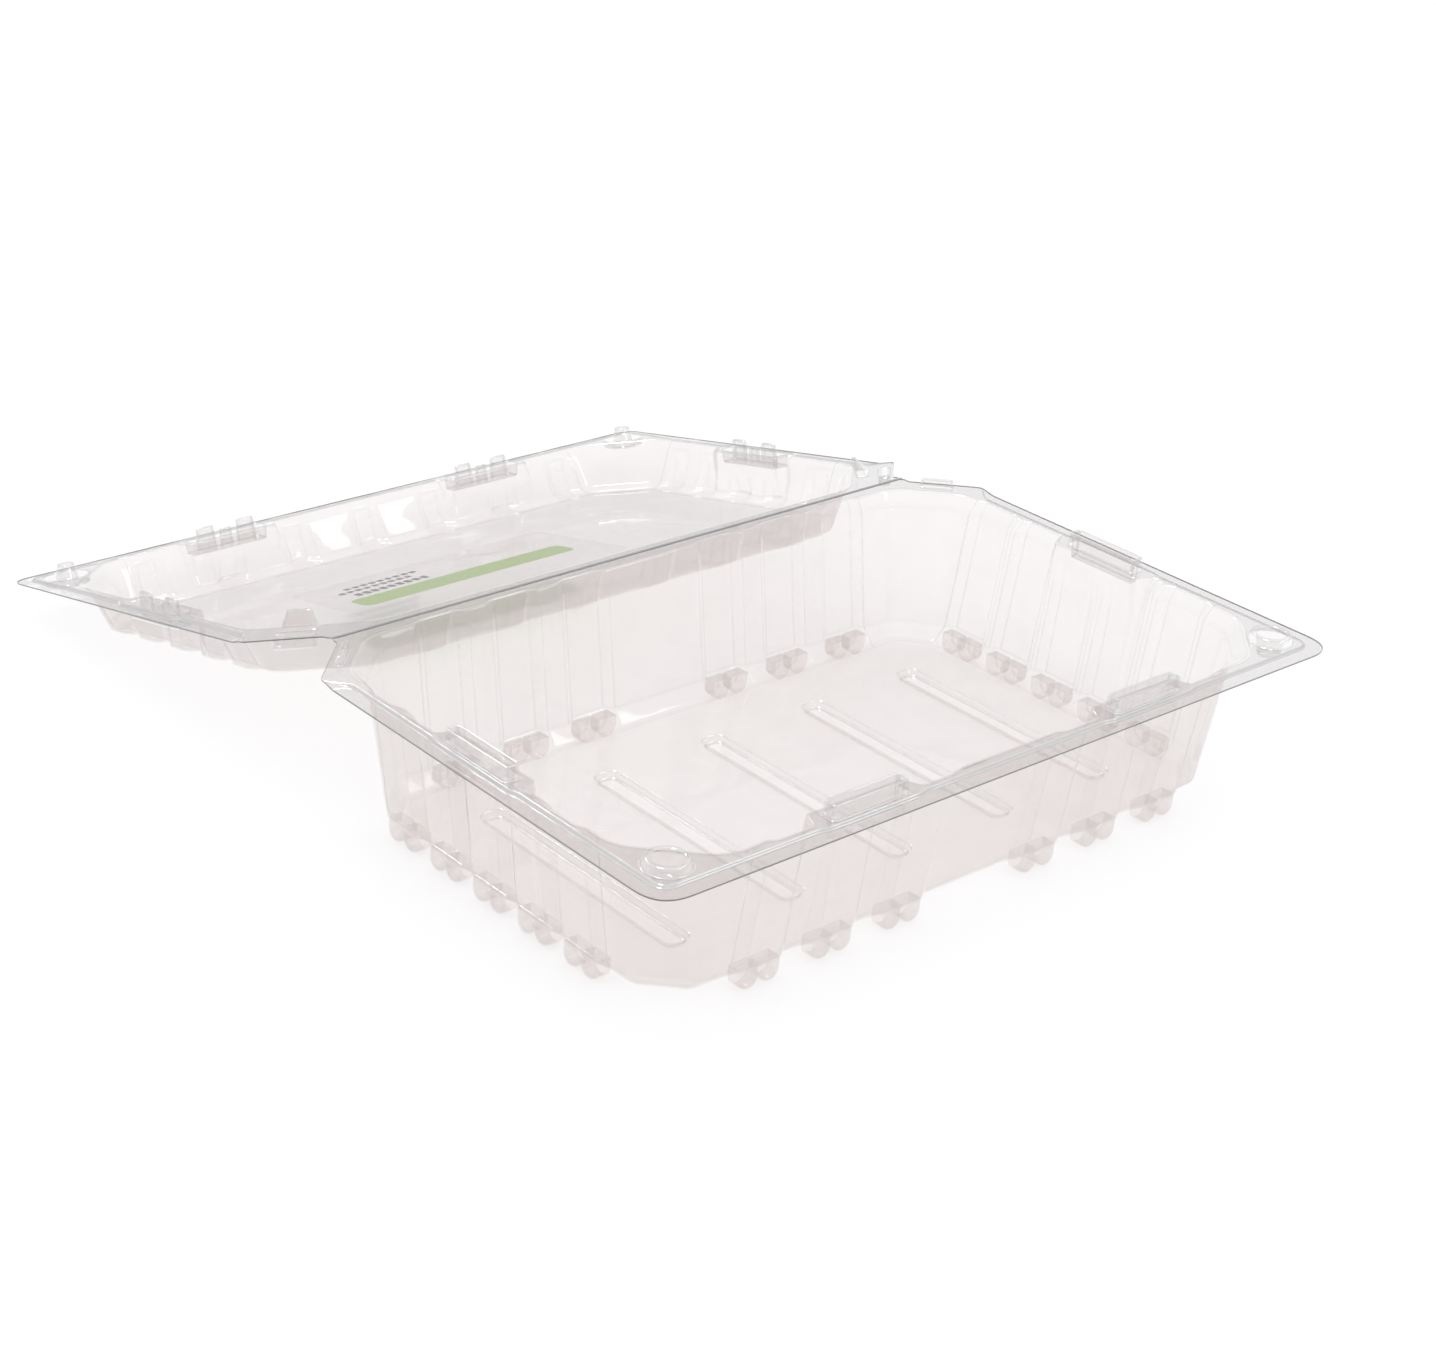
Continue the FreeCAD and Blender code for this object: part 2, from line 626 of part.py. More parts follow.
def label():
    """A thin printed label with rounded corners under the panel, which is its outside."""
    width, height = LABEL_SIZE
    x, y = LABEL_CENTRE
    top = -LID_DEPTH - SHEET
    spans = [(middle - size / 2.0, middle + size / 2.0) for middle, size in ((x, width), (y, height))]
    body = block(spans[0], spans[1], (top - LABEL_THICKNESS, top))
    upright = [edge for edge in body.Edges if abs(edge.tangentAt(edge.FirstParameter).z) > 0.9]
    return body.makeFillet(LABEL_RADIUS, upright)


def lid_nodes():
    """Every node of the lid, in the pan's frame."""
    names = ("lid", "outer", "hinge")
    ribs = {"far": LID_OUTER_RIBS, "hinge": LID_HINGE_RIBS, "side": LID_SIDE_RIBS}
    nodes = walls(LID_LEVELS, ribs, LID_RIB, names)
    nodes.update(rim(LID_LEVELS, names, [shelf(place) for place in BAR_PLACES], LID_CORNER_RADIUS))
    nodes["lid_panel"] = lid_panel()
    nodes["label"] = label()
    for place in BAR_PLACES:
        piece, envelope = latch(place)
        side = "outer" if place.along == "x" else place.name
        for name in (f"lid_{side}_rim", f"lid_{side}_wall"):
            nodes[name] = nodes[name].cut(envelope)
        nodes["latch_" + place.name.replace("front", "outer")] = piece
    for sign, word in ((-1, "left"), (1, "right")):
        button, envelope = snap_button(sign)
        web = f"lid_outer_{word}_web"
        nodes[web] = nodes[web].cut(envelope)
        nodes[f"snap_button_{word}"] = button
        lug, pocket, hole = hinge_lug(sign)
        web = f"lid_hinge_{word}_web"
        nodes[web] = fuse([nodes[web].cut(hole), pocket])
        nodes[f"hinge_lug_{word}"] = lug
    return nodes


def living_hinge():
    """The thin web of sheet along the fold, held by the tray's rim."""
    half = LENGTH / 2.0 - CHAMFER + EAR_LENGTH
    return block((-half, half), (-HINGE_GAP, HINGE_GAP / 3.0), (-SHEET, -HINGE_GROOVE))


# ---- output -------------------------------------------------------------------------------------------
def main():
    """Builds every node, writes its STEP file and prints what it measures."""
    os.makedirs("parts", exist_ok=True)
    placed = {name: place_tray(shape) for name, shape in tray_nodes().items()}
    placed["living_hinge"] = place_tray(living_hinge())
    placed.update({name: place_lid(shape) for name, shape in lid_nodes().items()})
    box = FreeCAD.BoundBox()
    for name, shape in sorted(placed.items()):
        shape.exportStep(f"parts/{name}.step")
        box.add(shape.BoundBox)
        print(f"{name:28s} solids {len(shape.Solids):2d} valid {shape.isValid()} {shape.Volume:9.1f} mm3")
    print(f"{len(placed)} nodes, box {box}")
    print(f"hinge axis y {HINGE_Y:.4f} z {PIVOT_Z:.4f}, lid tilt {math.degrees(LID_TILT):.4f} degrees")


main()
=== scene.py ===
"""Looks for a clear hinged produce clamshell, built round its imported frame.

The tray and the lid are each one thermoformed sheet. Every sheet is made as a skin: rings that follow the
rim, the ribbed walls and the floor, joined without gaps, given the sheet's thickness and then cut into the
pieces that the frame names. Shapes are worked out in millimetres in a pan's own frame, where the hinge edge
is y = 0, the far edge y = -width, the rim's contact face z = 0 and the walls go down.
"""

import json
import logging
import math
from collections.abc import Callable, Iterable, Sequence
from dataclasses import dataclass, field
from enum import Enum

import bpy
import numpy as np
from mathutils import Matrix, Vector
from mathutils.geometry import delaunay_2d_cdt

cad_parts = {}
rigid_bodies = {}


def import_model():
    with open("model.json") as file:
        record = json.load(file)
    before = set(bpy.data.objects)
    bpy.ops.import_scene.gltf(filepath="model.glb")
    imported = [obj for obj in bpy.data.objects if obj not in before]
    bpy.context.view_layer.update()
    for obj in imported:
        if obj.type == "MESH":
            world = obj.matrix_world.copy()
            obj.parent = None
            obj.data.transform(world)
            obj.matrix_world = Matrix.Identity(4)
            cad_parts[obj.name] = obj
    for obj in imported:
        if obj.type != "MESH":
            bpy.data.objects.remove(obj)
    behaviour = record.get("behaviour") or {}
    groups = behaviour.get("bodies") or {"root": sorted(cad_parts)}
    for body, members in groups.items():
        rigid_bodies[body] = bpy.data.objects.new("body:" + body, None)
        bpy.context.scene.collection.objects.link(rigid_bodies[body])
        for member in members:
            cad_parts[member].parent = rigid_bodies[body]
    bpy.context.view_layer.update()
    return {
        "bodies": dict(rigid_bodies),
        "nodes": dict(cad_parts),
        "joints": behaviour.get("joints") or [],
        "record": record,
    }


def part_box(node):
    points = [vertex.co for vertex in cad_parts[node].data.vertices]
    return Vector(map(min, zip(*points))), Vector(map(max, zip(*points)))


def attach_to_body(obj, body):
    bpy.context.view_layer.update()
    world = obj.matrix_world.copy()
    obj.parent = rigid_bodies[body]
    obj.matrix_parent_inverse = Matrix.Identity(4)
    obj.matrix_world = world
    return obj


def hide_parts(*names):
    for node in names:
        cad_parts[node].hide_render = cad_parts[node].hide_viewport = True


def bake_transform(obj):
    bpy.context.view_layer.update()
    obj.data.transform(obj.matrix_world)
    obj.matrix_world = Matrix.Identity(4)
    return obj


LOG = logging.getLogger("clamshell")
MM = 0.001
ROOT2 = math.sqrt(2.0)
# Point marks that the clear finishes read: painted grey shade and a stronger mirror along folds, painted dark
# shade along cut edges.
BEND = "bend"
EDGE = "edge"
SHARP_ANGLE = math.radians(38)
# The rim's step, from the cut edge inwards: inset in mm and height as a share of the step's drop.
STEP_PROFILE = (
    (0.0, -1.0),
    (0.55, -1.0),
    (2.6, -1.0),
    (4.9, -1.0),
    (5.25, -0.93),
    (5.5, -0.72),
    (5.7, -0.28),
    (5.95, -0.07),
    (6.3, 0.0),
    (6.6, 0.0),
)
Nodes = bpy.types.NodeTree


class Side(Enum):
    """The four edges of a pan, in the order that its rings run."""

    FAR = "far"
    RIGHT = "right"
    HINGE = "hinge"
    LEFT = "left"


class Body(Enum):
    """The two bodies that the living hinge joins."""

    TRAY = "tray"
    LID = "lid"


SIDES = (Side.FAR, Side.RIGHT, Side.HINGE, Side.LEFT)
HANDS = ((-1, "left"), (1, "right"))


# ---- small geometry -----------------------------------------------------------------------------------
def smooth_step(value: np.ndarray | float, low: float, high: float) -> np.ndarray | float:
    """Eased 0 to 1 between two values."""
    part = np.clip((value - low) / (high - low), 0.0, 1.0)
    return part * part * (3.0 - 2.0 * part)


def bezier(first: np.ndarray, middle: np.ndarray, last: np.ndarray, part: float) -> np.ndarray:
    """A point or ring at a part of the way along a quadratic curve."""
    return (1 - part) ** 2 * first + 2 * part * (1 - part) * middle + part**2 * last


def soften(rings: list[np.ndarray], reaches: Sequence[float], steps: int) -> list[np.ndarray]:
    """Rounds the fold at every inner ring of a loft.

    Args:
        rings: rings of points, from the outside in, all with the same count.
        reaches: how far each ring's rounding reaches to either side, in mm; 0 keeps the fold sharp.
        steps: facets across one rounding.

    Returns:
        The rings with every rounded fold replaced by a run of rings.
    """
    result = [rings[0]]
    for number in range(1, len(rings) - 1):
        before, here, after = rings[number - 1 : number + 2]
        if reaches[number] <= 0.0:
            result.append(here)
            continue
        ends = []
        for other in (before, after):
            run = np.maximum(np.linalg.norm(other - here, axis=1, keepdims=True), 1e-6)
            ends.append(here + (other - here) * np.minimum(0.48, reaches[number] / run))
        result += [bezier(ends[0], here, ends[1], step / steps) for step in range(steps + 1)]
    result.append(rings[-1])
    return result


def rounded_rectangle(centre: tuple[float, float], half: tuple[float, float], radius: float,
                      turn: float = 0.0) -> np.ndarray:
    """A closed outline with round corners.

    Args:
        centre: its middle.
        half: half its length along x and y before it is turned.
        radius: corner radius.
        turn: angle about its middle, in radians.

    Returns:
        Points in order, anticlockwise, as an (n, 2) array.
    """
    radius = max(0.2, min(radius, half[0] - 0.05, half[1] - 0.05))
    points = []
    for quarter, (sx, sy) in enumerate(((1, 1), (-1, 1), (-1, -1), (1, -1))):
        corner = np.array([sx * (half[0] - radius), sy * (half[1] - radius)])
        for step in range(6):
            angle = math.pi / 2 * (quarter + step / 5)
            points.append(corner + radius * np.array([math.cos(angle), math.sin(angle)]))
    flat = np.array(points)
    spin = np.array([[math.cos(turn), math.sin(turn)], [-math.sin(turn), math.cos(turn)]])
    return flat @ spin + np.array(centre)


def circle(centre: tuple[float, float], radius: float, count: int = 40) -> np.ndarray:
    """A round outline as an (n, 2) array."""
    angles = np.linspace(0.0, 2 * math.pi, count, endpoint=False)
    return np.array(centre) + radius * np.column_stack([np.cos(angles), np.sin(angles)])


def at_height(outline: np.ndarray, z: float | np.ndarray) -> np.ndarray:
    """An outline lifted to a height, as an (n, 3) array."""
    return np.column_stack([outline, np.broadcast_to(z, len(outline))])


@dataclass(frozen=True)
class Outline:
    """A closed outline given by its corners as x, y and radius, in anticlockwise order."""

    corners: tuple[tuple[float, float, float], ...]

    def drawn_in(self, by: float, least_radius: float = 1.0) -> "Outline":
        """The outline with every edge moved inwards and its radii made smaller."""
        places = [Vector(corner[:2]) for corner in self.corners]
        moved = []
        for number, (_, _, radius) in enumerate(self.corners):
            here = places[number]
            back = (here - places[number - 1]).normalized()
            fore = (places[(number + 1) % len(places)] - here).normalized()
            normals = Vector((-back.y, back.x)), Vector((-fore.y, fore.x))
            place = here + (normals[0] + normals[1]) * by / (1.0 + normals[0].dot(normals[1]))
            moved.append((place.x, place.y, max(radius - by, min(radius, least_radius))))
        return Outline(tuple(moved))

    def pieces(self, spacing: float) -> list[int]:
        """How many pieces each straight run needs, after each corner."""
        places = [np.array(corner[:2]) for corner in self.corners]
        runs = [np.linalg.norm(places[(n + 1) % len(places)] - places[n]) for n in range(len(places))]
        return [max(1, int((run - 3.0) / spacing)) for run in runs]

    def points(self, pieces: Sequence[int]) -> np.ndarray:
        """Points along the outline, as an (n, 2) array, with the given pieces on each straight run."""
        places = [np.array(corner[:2]) for corner in self.corners]
        count = len(places)
        arcs = []
        for number, (x, y, radius) in enumerate(self.corners):
            here = np.array([x, y])
            back = places[number - 1] - here
            fore = places[(number + 1) % count] - here
            back, fore = back / np.linalg.norm(back), fore / np.linalg.norm(fore)
            turn = math.pi - math.acos(np.clip(back @ fore, -1.0, 1.0))
            reach = radius * math.tan(turn / 2)
            first, last = here + back * reach, here + fore * reach
            arcs.append([bezier(first, here, last, step / 10) for step in range(11)])
        result = []
        for number, arc in enumerate(arcs):
            start, end = arc[-1], arcs[(number + 1) % count][0]
            result += arc
            result += [start + (end - start) * step / pieces[number] for step in range(1, pieces[number])]
        return np.array(result)


def inside(points: np.ndarray, loop: np.ndarray) -> np.ndarray:
    """Which points lie inside a closed loop, by counting crossings."""
    x, y = points[:, 0][:, None], points[:, 1][:, None]
    ax, ay = loop[:, 0][None], loop[:, 1][None]
    bx, by = np.roll(loop[:, 0], -1)[None], np.roll(loop[:, 1], -1)[None]
    crosses = (ay > y) != (by > y)
    with np.errstate(divide="ignore", invalid="ignore"):
        cut = ax + (y - ay) * (bx - ax) / (by - ay)
    return (crosses & (x < cut)).sum(1) % 2 == 1


# ---- skin: a sheet with no thickness yet ---------------------------------------------------------------
@dataclass
class Skin:
    """One thermoformed sheet, gathered from patches that share their border points.

    Its faces look up and into the pan. Each patch carries the name of the piece that it belongs to.
    """

    thickness: float
    points: list[np.ndarray] = field(default_factory=list)
    edge_marks: list[np.ndarray] = field(default_factory=list)
    faces: list[tuple[int, ...]] = field(default_factory=list)
    names: list[str] = field(default_factory=list)
    count: int = 0

    def add(self, points: np.ndarray, faces: Iterable[tuple[int, ...]], names: Sequence[str] | str,
            edge: np.ndarray | None = None) -> None:
        """Adds a patch.

        Args:
            points: its points as an (n, 3) array.
            faces: its faces as indices into those points.
            names: the piece that every face belongs to, or one name for all.
            edge: how much painted dark shade each point gets, 1 on the sheet's cut edge and 0 elsewhere.
        """
        faces = [tuple(index + self.count for index in face) for face in faces]
        self.points.append(points)
        self.edge_marks.append(np.zeros(len(points)) if edge is None else edge)
        self.faces += faces
        self.names += [names] * len(faces) if isinstance(names, str) else list(names)
        self.count += len(points)

    def add_rings(self, rings: list[np.ndarray], names: Sequence[str] | str, cap: bool = False,
                  cut_edge: bool = False) -> None:
        """Adds a closed band through rings of equal counts, from the outside in.

        Args:
            rings: the rings, each an (n, 3) array.
            names: one name, or one for each column of faces.
            cap: fills the last ring.
            cut_edge: marks the first ring as the sheet's cut edge.
        """
        size = len(rings[0])
        faces, owners = [], []
        for row in range(len(rings) - 1):
            for column in range(size):
                right = (column + 1) % size
                low, high = row * size, (row + 1) * size
                faces.append((low + column, low + right, high + right, high + column))
                owners.append(names if isinstance(names, str) else names[column])
        points = np.vstack(rings)
        if cap:
            middle = rings[-1].mean(0, keepdims=True)
            inner = middle + (rings[-1] - middle) * 0.5
            base = len(points)
            points = np.vstack([points, inner, middle])
            last = (len(rings) - 1) * size
            for column in range(size):
                right = (column + 1) % size
                faces.append((last + column, last + right, base + right, base + column))
                faces.append((base + column, base + right, base + size))
                owners += [names if isinstance(names, str) else names[column]] * 2
        marks = np.zeros(len(points))
        if cut_edge:
            marks[:size] = 1.0
        self.add(points, faces, owners, marks)

    def add_plate(self, outer: np.ndarray, holes: list[np.ndarray], name: str) -> None:
        """Adds a flat plate between an outline and its holes, all at the outline's height."""
        loops = [outer, *holes]
        flat = np.vstack([loop[:, :2] for loop in loops])
        edges, start = [], 0
        for loop in loops:
            size = len(loop)
            edges += [(start + n, start + (n + 1) % size) for n in range(size)]
            start += size
        found = delaunay_2d_cdt([Vector(point) for point in flat], edges, [], 0, 1e-6)
        places = np.array([vert[:] for vert in found[0]])
        for number, origins in enumerate(found[3]):
            if origins:
                places[number] = flat[origins[0]]
        triangles = np.array([face[:] for face in found[2]])
        corners = places[triangles]
        middles = corners.mean(1)
        keep = inside(middles, outer[:, :2])
        for hole in holes:
            keep &= ~inside(middles, hole[:, :2])
        triangles, corners = triangles[keep], corners[keep]
        first, second = corners[:, 1] - corners[:, 0], corners[:, 2] - corners[:, 0]
        clockwise = first[:, 0] * second[:, 1] - first[:, 1] * second[:, 0] < 0
        triangles[clockwise] = triangles[clockwise][:, ::-1]
        self.add(at_height(places, outer[0, 2]), [tuple(face) for face in triangles.tolist()], name)

    def pieces(self) -> dict[str, "Shell"]:
        """Joins the patches, thickens the whole sheet at once and cuts it into its named pieces.

        Returns:
            A closed shell for every piece name.
        """
        points = np.vstack(self.points)
        marks = np.concatenate(self.edge_marks)
        _, first, joined = np.unique(np.round(points, 3), axis=0, return_index=True, return_inverse=True)
        joined = joined.reshape(-1)
        points, marks = points[first], marks[first]
        faces, owners = [], []
        for face, name in zip(self.faces, self.names):
            ring = [int(joined[index]) for index in face]
            ring = [index for number, index in enumerate(ring) if index != ring[number - 1]]
            if len(set(ring)) >= 3:
                faces.append(tuple(ring))
                owners.append(name)
        normals = vertex_normals(points, faces)
        bend = fold_strength(points, faces)
        below = points - normals * self.thickness
        result = {}
        for name in dict.fromkeys(owners):
            chosen = [face for face, owner in zip(faces, owners) if owner == name]
            result[name] = Shell.from_faces(points, below, chosen, bend, marks)
        return result


def vertex_normals(points: np.ndarray, faces: list[tuple[int, ...]]) -> np.ndarray:
    """Area-weighted normals of a skin's points."""
    normals = np.zeros_like(points)
    for size in (3, 4):
        chosen = np.array([face for face in faces if len(face) == size])
        if not len(chosen):
            continue
        corners = points[chosen]
        if size == 3:
            normal = np.cross(corners[:, 1] - corners[:, 0], corners[:, 2] - corners[:, 0])
        else:
            normal = np.cross(corners[:, 2] - corners[:, 0], corners[:, 3] - corners[:, 1])
        for column in range(size):
            np.add.at(normals, chosen[:, column], normal)
    return normals / np.maximum(np.linalg.norm(normals, axis=1, keepdims=True), 1e-12)


def fold_strength(points: np.ndarray, faces: list[tuple[int, ...]], sharpest: float = 0.7) -> np.ndarray:
    """How tightly the sheet is folded at each point.

    Args:
        points: the skin's points.
        faces: its faces.
        sharpest: fold radius, in mm, that counts as 1.

    Returns:
        0 on flats to 1 at the sharpest folds, one number for each point.
    """
    padded = np.array([(*face, face[-1])[:4] for face in faces])
    corners = points[padded]
    middles = corners.mean(1)
    normals = np.cross(corners[:, 2] - corners[:, 0], corners[:, 3] - corners[:, 1])
    small = np.linalg.norm(normals, axis=1) < 1e-9
    normals[small] = np.cross(corners[small, 1] - corners[small, 0], corners[small, 2] - corners[small, 0])
    normals /= np.maximum(np.linalg.norm(normals, axis=1, keepdims=True), 1e-12)
    edges = np.array([(min(face[n - 1], face[n]), max(face[n - 1], face[n]), number)
                      for number, face in enumerate(faces) for n in range(len(face))])
    edges = edges[np.lexsort((edges[:, 1], edges[:, 0]))]
    paired = np.flatnonzero((edges[1:, :2] == edges[:-1, :2]).all(1))
    ends, one, other = edges[paired, :2], edges[paired, 2], edges[paired + 1, 2]
    turn = np.linalg.norm(normals[one] - normals[other], axis=1)
    gap = np.maximum(np.linalg.norm(middles[one] - middles[other], axis=1), 0.08)
    bend = np.zeros(len(points))
    np.maximum.at(bend, ends[:, 0], turn / gap)
    np.maximum.at(bend, ends[:, 1], turn / gap)
    return np.clip(bend * sharpest, 0.0, 1.0)


@dataclass
class Shell:
    """A closed piece of sheet, ready to be placed."""

    points: np.ndarray
    faces: list[tuple[int, ...]]
    bend: np.ndarray
    edge: np.ndarray

    @classmethod
    def from_faces(cls, above: np.ndarray, below: np.ndarray, faces: list[tuple[int, ...]], bend: np.ndarray,
                   edge: np.ndarray) -> "Shell":
        """Closes chosen faces of a skin with their underside and their border.

        Args:
            above: the skin's points.
            below: the same points on the sheet's other face.
            faces: the chosen faces.
            bend: fold strength of the skin's points.
            edge: cut-edge mark of the skin's points.

        Returns:
            The closed shell.
        """
        used = np.unique([index for face in faces for index in face])
        place = {int(index): number for number, index in enumerate(used)}
        size = len(used)
        top = [tuple(place[index] for index in face) for face in faces]
        sides = {(face[n - 1], face[n]) for face in top for n in range(len(face))}
        border = [(a, a + size, b + size, b) for a, b in sorted(sides) if (b, a) not in sides]
        under = [tuple(index + size for index in reversed(face)) for face in top]
        return cls(
            np.vstack([above[used], below[used]]),
            top + under + border,
            np.tile(bend[used], 2),
            np.tile(edge[used], 2),
        )

    def mesh(self, name: str, place: Callable[[np.ndarray], np.ndarray], flip: bool) -> bpy.types.Mesh:
        """The shell as a Blender mesh in its final place.

        Args:
            name: the mesh's name.
            place: takes pan points in mm to the frame in metres.
            flip: turns the faces round, for a mirrored pan.

        Returns:
            The mesh, with its fold and edge marks as point attributes.
        """
        mesh = bpy.data.meshes.new(name)
        faces = [tuple(reversed(face)) for face in self.faces] if flip else self.faces
        mesh.from_pydata(place(self.points).tolist(), [], faces)
        for label, values in ((BEND, self.bend), (EDGE, self.edge)):
            attribute = mesh.attributes.new(label, "FLOAT", "POINT")
            attribute.data.foreach_set("value", values.astype(np.float32))
        mesh.shade_smooth()
        mesh.set_sharp_from_angle(angle=SHARP_ANGLE)
        mesh.update()
        return mesh


def show(mesh: bpy.types.Mesh, name: str, material: bpy.types.Material) -> bpy.types.Object:
    """Puts a mesh in the scene as a piece with one material."""
    mesh.materials.clear()
    mesh.materials.append(material)
    piece = bpy.data.objects.new(name, mesh)
    bpy.context.scene.collection.objects.link(piece)
    return piece


# ---- pans ----------------------------------------------------------------------------------------------
@dataclass(frozen=True)
class Fold:
    """One fold line round a pan, in mm.

    Insets are measured in from each edge, and a corner cut is the sum of the two insets along its 45 degree
    line. rib is how far ribs stand out here, bar_rib the share of that left beside a bar, shelf the extra
    inset beside a bar, and soft the reach of the fold's rounding.
    """

    side: float
    far: float
    hinge: float
    far_cut: float
    hinge_cut: float
    z: float
    rib: float = 0.0
    bar_rib: float = 1.0
    shelf: float = 0.0
    soft: float = 1.0

    def moved(self, by: float) -> "Fold":
        """The same line taken further in, with its rounding off."""
        return Fold(self.side + by, self.far + by, self.hinge + by, self.far_cut + ROOT2 * by,
                    self.hinge_cut + ROOT2 * by, self.z, self.rib, self.bar_rib, self.shelf, 0.0)


@dataclass(frozen=True)
class RibShape:
    """Cross-section of a wall rib, in mm."""

    half: float = 9.7
    crest_half: float = 6.5
    soft: float = 0.45

    def rise(self, offset: np.ndarray) -> np.ndarray:
        """Share of the rib's full height at places across it."""
        shares = [
            np.clip((self.half - np.abs(offset + shift)) / (self.half - self.crest_half), 0.0, 1.0)
            for shift in np.linspace(-self.soft, self.soft, 9)
        ]
        return np.mean(shares, axis=0)

    def stations(self) -> np.ndarray:
        """Places across the rib that its shape needs."""
        near = np.linspace(-self.soft, self.soft, 5)
        flank = (self.half + self.crest_half) / 2
        half = np.concatenate([self.half + near, [flank], self.crest_half + near, [3.2]])
        return np.unique(np.concatenate([-half, [0.0], half]))


@dataclass
class Pan:
    """A ribbed pan with a stepped rim: the shared form of the tray and the lid, in mm in its own frame.

    ribs and bars list places along each edge. shelf_half says where, from a bar's middle, the wall's shelf
    beside it starts to fade and has gone. corner_reach and foot_reach are the rounding of the corners at the
    mouth and at the floor. step_end says where the rim's step fades out near the hinge, and snap_clear where
    it is narrowed round a snap. mouth_borders and floor_borders are rings that keep the flat faces clear of
    the walls' rounding. widest_gap and least_gap bound the spacing of points along a wall.
    """

    length: float
    width: float
    sheet: float
    folds: list[Fold]
    ribs: dict[Side, list[float]]
    bars: dict[Side, list[float]]
    names: dict[Side, str]
    label: str
    body: Body
    step_scale_at_bar: float
    step_scale_at_snap: float = 1.0
    rib_shape: RibShape = field(default_factory=RibShape)
    snap_inset: float = 14.5
    corner_radius: float = 11.0
    chamfer: float = 22.0
    ear: float = 4.0
    hinge_gap: float = 0.6
    step_drop: float = 0.9
    shelf_half: tuple[float, float] = (17.2, 21.0)
    corner_reach: float = 6.5
    foot_reach: float = 2.2
    chamfer_radius: float = 3.0
    ear_radii: tuple[float, float] = (1.0, 1.8)
    rim_spacing: float = 1.6
    step_end: tuple[float, float] = (-29.0, -23.0)
    step_scale_at_hinge: float = 0.12
    snap_clear: tuple[float, float] = (15.5, 22.0)
    mouth_borders: tuple[float, float] = (-1.35, -1.0)
    floor_borders: tuple[float, float] = (1.6, 2.2)
    widest_gap: float = 3.4
    least_gap: float = 0.12

    def near_bar(self, side: Side, along: np.ndarray) -> np.ndarray:
        """1 beside a bar, 0 away from it, for places along one edge."""
        share = np.zeros(len(along))
        for centre in self.bars.get(side, []):
            share = np.maximum(share, 1.0 - smooth_step(np.abs(along - centre), *self.shelf_half))
        return share

    def stations(self, side: Side) -> np.ndarray:
        """Places along one wall, in the order that rings run."""
        spots = [rib + self.rib_shape.stations() for rib in self.ribs[side]]
        places = np.concatenate(spots)
        extra = []
        for centre in self.bars.get(side, []):
            for sign in (-1, 1):
                extra += list(centre + sign * np.linspace(*self.shelf_half, 6))
        gaps = np.sort(places)
        wide = np.diff(gaps) > self.widest_gap
        extra += list((gaps[:-1][wide] + gaps[1:][wide]) / 2)
        extra = [place for place in extra if gaps[0] < place < gaps[-1]]
        places = np.sort(np.concatenate([places, extra]))
        places = places[np.concatenate([[True], np.diff(places) > self.least_gap])]
        return places if side in (Side.FAR, Side.RIGHT) else places[::-1]

    def wall_line(self, fold: Fold, side: Side) -> np.ndarray:
        """One wall's points along a fold, as an (n, 2) array."""
        along = self.stations(side)
        rib = np.zeros(len(along))
        for centre in self.ribs[side]:
            rib = np.maximum(rib, self.rib_shape.rise(along - centre))
        bar = self.near_bar(side, along)
        inset = {Side.FAR: fold.far, Side.HINGE: fold.hinge}.get(side, fold.side)
        inset = inset + fold.shelf * bar - fold.rib * rib * (1.0 - bar * (1.0 - fold.bar_rib))
        half = self.length / 2
        if side is Side.FAR:
            return np.column_stack([along, -self.width + inset])
        if side is Side.HINGE:
            return np.column_stack([along, -inset])
        sign = 1 if side is Side.RIGHT else -1
        return np.column_stack([sign * (half - inset), along])

    def corner_line(self, fold: Fold, side: Side, start: np.ndarray, end: np.ndarray) -> np.ndarray:
        """The points of the 45 degree corner between one wall's last point and the next wall's first.

        Args:
            fold: the fold line that it follows.
            side: the wall before the corner.
            start: that wall's last point.
            end: the next wall's first point.

        Returns:
            Points strictly between the two, as an (n, 2) array.
        """
        half = self.length / 2
        side_x = half - fold.side
        if side in (Side.FAR, Side.LEFT):
            on_end = np.array([half - (fold.far_cut - fold.far), -self.width + fold.far])
            on_side = np.array([side_x, -self.width + fold.far_cut - fold.side])
        else:
            on_end = np.array([half - (fold.hinge_cut - fold.hinge), -fold.hinge])
            on_side = np.array([side_x, -(fold.hinge_cut - fold.side)])
        first, second = (on_end, on_side) if side in (Side.FAR, Side.HINGE) else (on_side, on_end)
        if side in (Side.HINGE, Side.LEFT):
            first, second = first * (-1, 1), second * (-1, 1)
        depth = smooth_step(fold.z / self.folds[-1].z, 0.0, 0.9)
        reach = self.corner_reach + (self.foot_reach - self.corner_reach) * depth
        reach_in = min(reach, 0.92 * np.linalg.norm(start - first))
        reach_out = min(reach, 0.92 * np.linalg.norm(end - second))
        across = second - first
        middle_reach = min(reach, 0.42 * np.linalg.norm(across))
        across /= np.linalg.norm(across)
        bend_in = first + (start - first) / np.linalg.norm(start - first) * reach_in
        bend_mid = (first + across * middle_reach, second - across * middle_reach)
        bend_out = second + (end - second) / np.linalg.norm(end - second) * reach_out
        points = [start + (bend_in - start) * 0.5]
        points += [bezier(bend_in, first, bend_mid[0], step / 6) for step in range(7)]
        points += [bend_mid[0] + (bend_mid[1] - bend_mid[0]) * step / 5 for step in range(1, 5)]
        points += [bezier(bend_mid[1], second, bend_out, step / 6) for step in range(7)]
        points.append(bend_out + (end - bend_out) * 0.5)
        return np.array(points)

